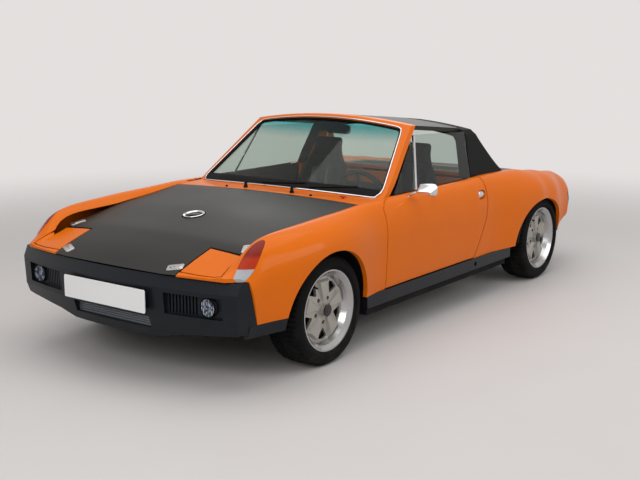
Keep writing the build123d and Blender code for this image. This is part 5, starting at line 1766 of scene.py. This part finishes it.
@dataclass(frozen=True)
class Cabin:
    """Seats, dials, levers, pedals and door cards."""

    fill: float = 0.7
    board: Pair = (-0.4515, 0.650)
    board_faces: Point = (0, 0.96, -0.26)
    dials_x: float = 0.350
    glove_box_x: float = -0.340
    horn_tilt: float = 22.0
    card_x: float = 0.6995

    DIALS = ((-0.118, 0.041), (0.0, 0.050), (0.118, 0.041))
    PEDALS = ((0.260, 0.055), (0.350, 0.060), (0.440, 0.045))
    CARD = ((-0.660, 0.330), (-0.660, 0.735), (-0.640, 0.752), (0.385, 0.756), (0.400, 0.740), (0.330, 0.330),
            (0.310, 0.312), (-0.640, 0.312))
    ARMREST = ((0.007, -0.300, 0.560), (0.030, -0.280, 0.565), (0.036, 0.050, 0.560), (0.030, 0.200, 0.552),
               (0.007, 0.225, 0.548))
    POCKET = ((-0.600, 0.340), (-0.600, 0.470), (-0.120, 0.450), (-0.120, 0.340))

    def build(self) -> None:
        """Make them all."""
        self._seats()
        self._dash()
        self._controls()
        for side in Side:
            self._door_card(side)

    def _seats(self) -> None:
        """The driver's seat, and its twin on the other side."""
        driver, other = Seat(Side.LEFT), Seat(Side.RIGHT)
        pads, twins = driver.build(), []
        for pad in pads:
            twin = pad.copy()
            twin.data = pad.data.copy()
            twin.data.transform(Matrix.Translation((other.middle - driver.middle, 0, 0)))
            twin.name = twin.data.name = pad.name.replace(driver.side, other.side)
            bpy.context.collection.objects.link(twin)
            twins.append(twin)
        bpy.context.view_layer.update()
        for pad in pads + twins:
            place_piece(pad, "body", "seat_cloth", "seats")
        driver.hardware(*pads)
        other.hardware(*twins)

    def _dash(self) -> None:
        """Dials, knobs, the glove box's edge, the defroster's bars and the horn push."""
        normal = Vector(self.board_faces).normalized()
        along = normal.cross(X).normalized()
        middle, box = (Vector((x, *self.board)) for x in (self.dials_x, self.glove_box_x))
        rims, faces, marks = Shape(), Shape(), Shape()

        def ray(degrees: float) -> Vector:
            """A direction on the dials' face."""
            return X * math.cos(math.radians(degrees)) + along * math.sin(math.radians(degrees))

        for shift, r in self.DIALS:
            at = middle + X * shift
            rims.turn([(0.0, r), (0.010, r), (0.012, r - 0.002), (0.010, r - 0.005), (0.0, r - 0.005)], at, normal,
                      48, closed=True)
            faces.turn([(0.0, r - 0.004), (0.003, r - 0.005), (0.003, 0)], at, normal, 48)
            for i in range(11):
                marks.sweep([at + normal * 0.0035 + ray(225 - 27 * i) * (r * share) for share in (0.70, 0.83)],
                            flat_section(0.0016, 0.0006), normal)
            marks.sweep([at + normal * 0.006 + ray(215) * reach for reach in (-0.006, r * 0.72)],
                        flat_section(0.0022, 0.001), normal)
        rims.put("dial_rims", BLACK_TRIM, "body", "black_moulding")
        faces.put("dial_faces", DIAL, "body", "black_moulding")
        marks.put("dial_marks", PLATE, "body", "plate_white")
        trim = Shape().sweep(rounded_outline(box, X, along, 0.400, 0.086, 0.012), flat_section(0.004, 0.003), normal,
                             closed=True)
        for x in (-0.030, 0.030):
            trim.turn([(0.0, 0.013), (0.010, 0.012), (0.016, 0.010), (0.017, 0)], middle + X * (x - self.dials_x),
                      normal, 20)
        trim.turn([(-0.001, 0.010), (0.008, 0.009), (0.009, 0)], box + X * 0.165, normal, 16)
        trim.put("dash_trim", BLACK_TRIM, "body", "black_moulding")
        bars = Shape()
        for i in range(12):
            for x in (-0.42, 0.0, 0.42):
                place, up = drop_on("dashboard", x + (i - 5.5) * 0.012, -0.640)
                bars.slab(rounded_outline(place, X, Y, 0.005, 0.040, 0.002, 2), up, 0.0025, 0.0008)
        bars.put("defroster_bars", BLACK_TRIM, "body", "black_moulding")
        tilt = math.radians(self.horn_tilt)
        Shape().turn([(-0.012, 0.036), (0.004, 0.040), (0.012, 0.036), (0.016, 0.020), (0.0165, 0)], STEERING_CENTRE,
                     (0, math.cos(tilt), math.sin(tilt)), 40).put(
            "horn_push", BLACK_TRIM, "steering_wheel", "wheel_rim_leather")

    def _controls(self) -> None:
        """Gear lever and pedals."""
        place, _ = drop_on("floor_pan", 0.0, -0.330)
        top = place + Vector((0.0, 0.030, 0.190))
        lever = Shape().turn([(0.0, 0.052), (0.010, 0.046), (0.030, 0.034), (0.050, 0.020), (0.062, 0.011),
                              (0.064, 0)], place, Z, 28)
        lever.sweep(smooth_path([place + Z * 0.05, place + Vector((0, 0.006, 0.11)), top]),
                    circle_section(0.0055, 10), X)
        lever.turn([(-0.016, 0.008), (-0.010, 0.017), (0.004, 0.021), (0.016, 0.017), (0.022, 0.007), (0.023, 0)], top,
                   (0, 0.15, 1), 28)
        lever.put("gear_lever", VINYL, "body", "black_vinyl")
        pedals, up = Shape(), Vector((0, 0.80, 0.45)).normalized()
        for x, width in self.PEDALS:
            foot, _ = drop_on("floor_pan", x, -0.690)
            pad = foot + Z * 0.130
            pedals.slab(rounded_outline(pad, X, up.cross(X).normalized(), width, 0.062, 0.010), up, 0.010, 0.002)
            pedals.sweep([foot + Vector((0, -0.060, 0.002)), foot + Vector((0, -0.030, 0.070)), pad],
                         circle_section(0.007, 8), X)
        pedals.put("pedals", BLACK_TRIM, "body", "black_moulding")

    def _door_card(self, side: Side) -> None:
        """The inner card of one side's door, with its armrest, pocket, crank and release.

        Args:
            side: The side.
        """
        x = self.card_x
        card = Shape().slab([Vector((x, y, z)) for y, z in blunt_corners(self.CARD)], -X, 0.008, 0.004)
        card.sweep(smooth_path([(x - in_, y, z) for in_, y, z in self.ARMREST], 5), flat_section(0.046, 0.030))
        card.slab([Vector((x - 0.007, y, z)) for y, z in self.POCKET], -X, 0.016, 0.006)
        hub = Vector((x - 0.008, -0.330, 0.610))
        tip = hub + Vector((-0.018, 0.085, -0.030))
        bright = Shape().turn([(0.0, 0.020), (0.006, 0.018), (0.012, 0.008), (0.013, 0)], hub, -X, 24)
        bright.sweep([hub - X * 0.010, hub + Vector((-0.016, 0.04, -0.014)), tip], flat_section(0.011, 0.005), X)
        bright.turn([(0.0, 0.009), (0.018, 0.011), (0.022, 0.008), (0.023, 0)], tip, -X, 20)
        bright.slab(rounded_outline(Vector((x - 0.008, 0.170, 0.655)), Y, Z, 0.090, 0.022, 0.010), -X, 0.009, 0.003)
        card.on_side(side).put(f"door_card_{side}", VINYL, f"door_{side}", "black_vinyl")
        bright.on_side(side).put(f"door_crank_{side}", CHROME, f"door_{side}", "bright_trim")


# --- Sides and rear


@dataclass(frozen=True)
class DoorSides:
    """Door handles and belt seals."""

    handle: Point = (0.779, 0.392, 0.688)
    lean: float = 0.14
    belt_points: int = 20
    belt: Pair = (0.010, 0.007)

    def build(self) -> None:
        """Make them on both sides."""
        for side in Side:
            self._handle(side)
            self._belt(side)

    def _handle(self, side: Side) -> None:
        """Make a flush handle: its plate, its grip and its lock.

        Args:
            side: The side.
        """
        centre, out = Vector(self.handle), Vector((1, 0, self.lean))
        along = Vector((-self.lean, 0, 1)).normalized()
        handle = Shape().slab(rounded_outline(centre, Y, along, 0.082, 0.046, 0.012, 5), out, 0.006, 0.003)
        handle.slab(rounded_outline(centre + Vector((0.004, -0.006, 0.002)), Y, along, 0.058, 0.034, 0.010, 5), out,
                    0.0125, 0.005)
        handle.turn([(0.0, 0.0085), (0.0055, 0.0085), (0.0075, 0.006), (0.0065, 0)],
                    centre + Vector((0.004, 0.031, -0.001)), out, 20)
        handle.on_side(side).put(f"door_handle_{side}", CHROME, f"door_{side}", "bright_trim")

    def _belt(self, side: Side) -> None:
        """Make the rubber strip at the foot of the door's glass.

        Args:
            side: The side.
        """
        rows = read_rows(NODES[f"door_glass_{side}"].data.vertices)
        low = rows[rows[:, 2] < 0.80]
        first, last = low[:, 1].min(), low[:, 1].max()
        path = []
        for i in range(self.belt_points + 1):
            y = first + 0.010 + (last - first - 0.020) * i / self.belt_points
            x = low[np.abs(low[:, 1] - y).argmin(), 0] + side.sign * 0.004
            hit = cast(NODES[f"door_{side}"], (x, y, 1.2), -Z)
            if hit and hit[0].z > 0.70:
                path.append(Vector((hit[0].x, y, hit[0].z + 0.002)))
        Shape().sweep(path, flat_section(*self.belt)).put(f"belt_strip_{side}", RUBBER, f"door_{side}", "tyre_rubber")


@dataclass(frozen=True)
class Rear:
    """What shows from behind: the trunk's lock and the tail lamps' screws."""

    lock_z: float = 0.590
    screws_x: Pair = (0.455, 0.665)
    screws_z: float = 0.580

    def build(self) -> None:
        """Make them all."""
        Shape().turn([(0.0, 0.017), (0.004, 0.016), (0.006, 0.010), (0.0055, 0.006), (0.0055, 0)],
                     *meet(NODES["tail_panel"], (0.0, 3.0, self.lock_z), -Y), 28).put(
            "trunk_lock", CHROME, "body", "bright_trim")
        screws = Shape()
        for side in (-1, 1):
            for x in self.screws_x:
                screws.turn([(0.0, 0.0045), (0.0012, 0.004), (0.0016, 0)],
                            *meet(NODES["tail_lamps"], (side * x, 3.0, self.screws_z), -Y), 14)
        screws.put("tail_lamp_screws", CHROME, "body", "bright_trim")


# --- Studio

PALE = (0.770, 0.745, 0.735)


def seen_directly(graph: Graph) -> Socket:
    """1 for rays from the camera, a mirror or glass, which see the pale background.

    Args:
        graph: The graph of the material or the world.

    Returns:
        The result's socket.
    """
    path = graph.add("LightPath").outputs
    either = graph.math("MAXIMUM", path["Is Camera Ray"], path["Is Transmission Ray"])
    return graph.math("MAXIMUM", either, path["Is Glossy Ray"])


@dataclass(frozen=True)
class FloorFinish(Finish):
    """A plain pale floor that passes into the pale background far away."""

    darker: Colour = (0.585, 0.560, 0.550)
    lighter: Colour = (0.61, 0.585, 0.575)
    fade_start: float = 2.8
    fade_end: float = 7.5

    def dress(self, graph: Graph) -> None:
        """Cloud the floor's colour, and let it glow like the background where it is far from the car.

        Args:
            graph: The material's graph.
        """
        place = graph.place()
        graph.feed(graph.shader, {"Roughness": 0.6, "Specular IOR Level": 0.2,
                                  "Base Color": graph.mix(graph.noise(place, 2.0, 8.0), self.darker, self.lighter)})
        away = graph.ramp(graph.vector("LENGTH", {0: place}, 1), self.fade_start, self.fade_end)
        glow = graph.add("Emission", {"Color": rgba(PALE), "Strength": 1.0})
        graph.blend(graph.times(away, seen_directly(graph)), graph.shader, glow)


@dataclass(frozen=True)
class SoftBox:
    """A soft box light: where it hangs, what it points at, its size and its power in watts."""

    name: str
    place: Point
    target: Point
    size: Pair
    power: float

    def build(self) -> None:
        """Hang the light."""
        data = bpy.data.lights.new(self.name, "AREA")
        data.shape = "RECTANGLE"
        data.size, data.size_y = self.size
        data.energy = self.power
        lamp = bpy.data.objects.new(self.name, data)
        lamp.location = self.place
        lamp.rotation_euler = (Vector(self.target) - lamp.location).to_track_quat("-Z", "Y").to_euler()
        bpy.context.collection.objects.link(lamp)


@dataclass(frozen=True)
class Camera:
    """The camera at the front left of the car, at eye height, with its angles in degrees."""

    place: Point = (3.744, -5.250, 1.630)
    azimuth: float = 36.746
    pitch: float = 11.081
    lens: float = 57.116
    sensor: float = 36.0

    def build(self) -> None:
        """Set the camera up."""
        turn, pitch = math.radians(self.azimuth), math.radians(self.pitch)
        back = Vector((math.sin(turn) * math.cos(pitch), -math.cos(turn) * math.cos(pitch), math.sin(pitch)))
        right = Vector((math.cos(turn), math.sin(turn), 0.0))
        data = bpy.data.cameras.new("camera")
        data.sensor_width, data.lens, data.clip_end = self.sensor, self.lens, 200.0
        camera = bpy.data.objects.new("camera", data)
        rows = zip(right, back.cross(right), back, self.place)
        camera.matrix_world = Matrix((*rows, (0, 0, 0, 1)))
        bpy.context.collection.objects.link(camera)
        bpy.context.scene.camera = camera


@dataclass(frozen=True)
class Studio:
    """Floor, world and lamps."""

    size: float = 60.0
    steps: int = 21
    sky: Pair = (0.08, 0.66)
    lamps: tuple[SoftBox, ...] = (
        SoftBox("top_box", (0.5, -0.5, 5.0), (0.0, 0.0, 0.5), (6.0, 5.0), 130.0),
        SoftBox("front_box", (2.5, -6.0, 3.2), (0.0, -1.0, 0.5), (4.0, 2.5), 125.0),
        SoftBox("side_box", (5.5, 1.5, 2.8), (0.0, 0.3, 0.5), (4.5, 2.2), 80.0),
        SoftBox("back_box", (-3.5, 5.5, 3.5), (0.0, 0.5, 0.7), (4.0, 2.5), 40.0))

    def build(self) -> None:
        """Make them all."""
        axis = np.linspace(-self.size, self.size, self.steps)
        mesh_object("studio_floor", [(x, y, 0.0) for y in axis for x in axis],
                             grid_faces(self.steps, self.steps), FloorFinish("pale_floor"))
        self._world()
        for lamp in self.lamps:
            lamp.build()
        bpy.context.scene.view_settings.view_transform = "Standard"

    def _world(self) -> None:
        """Soft light, stronger from above, with a pale background for camera, mirror and glass."""
        world = bpy.data.worlds.new("studio")
        bpy.context.scene.world = world
        world.use_nodes = True
        graph = Graph(world.node_tree)
        height = graph.xyz(graph.add("TexCoord").outputs["Generated"])[2]
        light = graph.feed(world.node_tree.nodes["Background"],
                           {"Color": (1, 1, 1, 1), "Strength": graph.remap(height, *self.sky)})
        pale = graph.add("Background", {"Color": rgba(PALE), "Strength": 1.0})
        graph.blend(seen_directly(graph), light, pale)


def main() -> None:
    """Build the whole scene."""
    Camera().build()
    finish_frame()
    for part in (Wheels(), FrontEnd(), Windscreen(), DoorMirror(), Cabin(), DoorSides(), Rear(), Studio()):
        part.build()
        LOG.info("built %s", type(part).__name__)


if __name__ == "__main__":
    main()
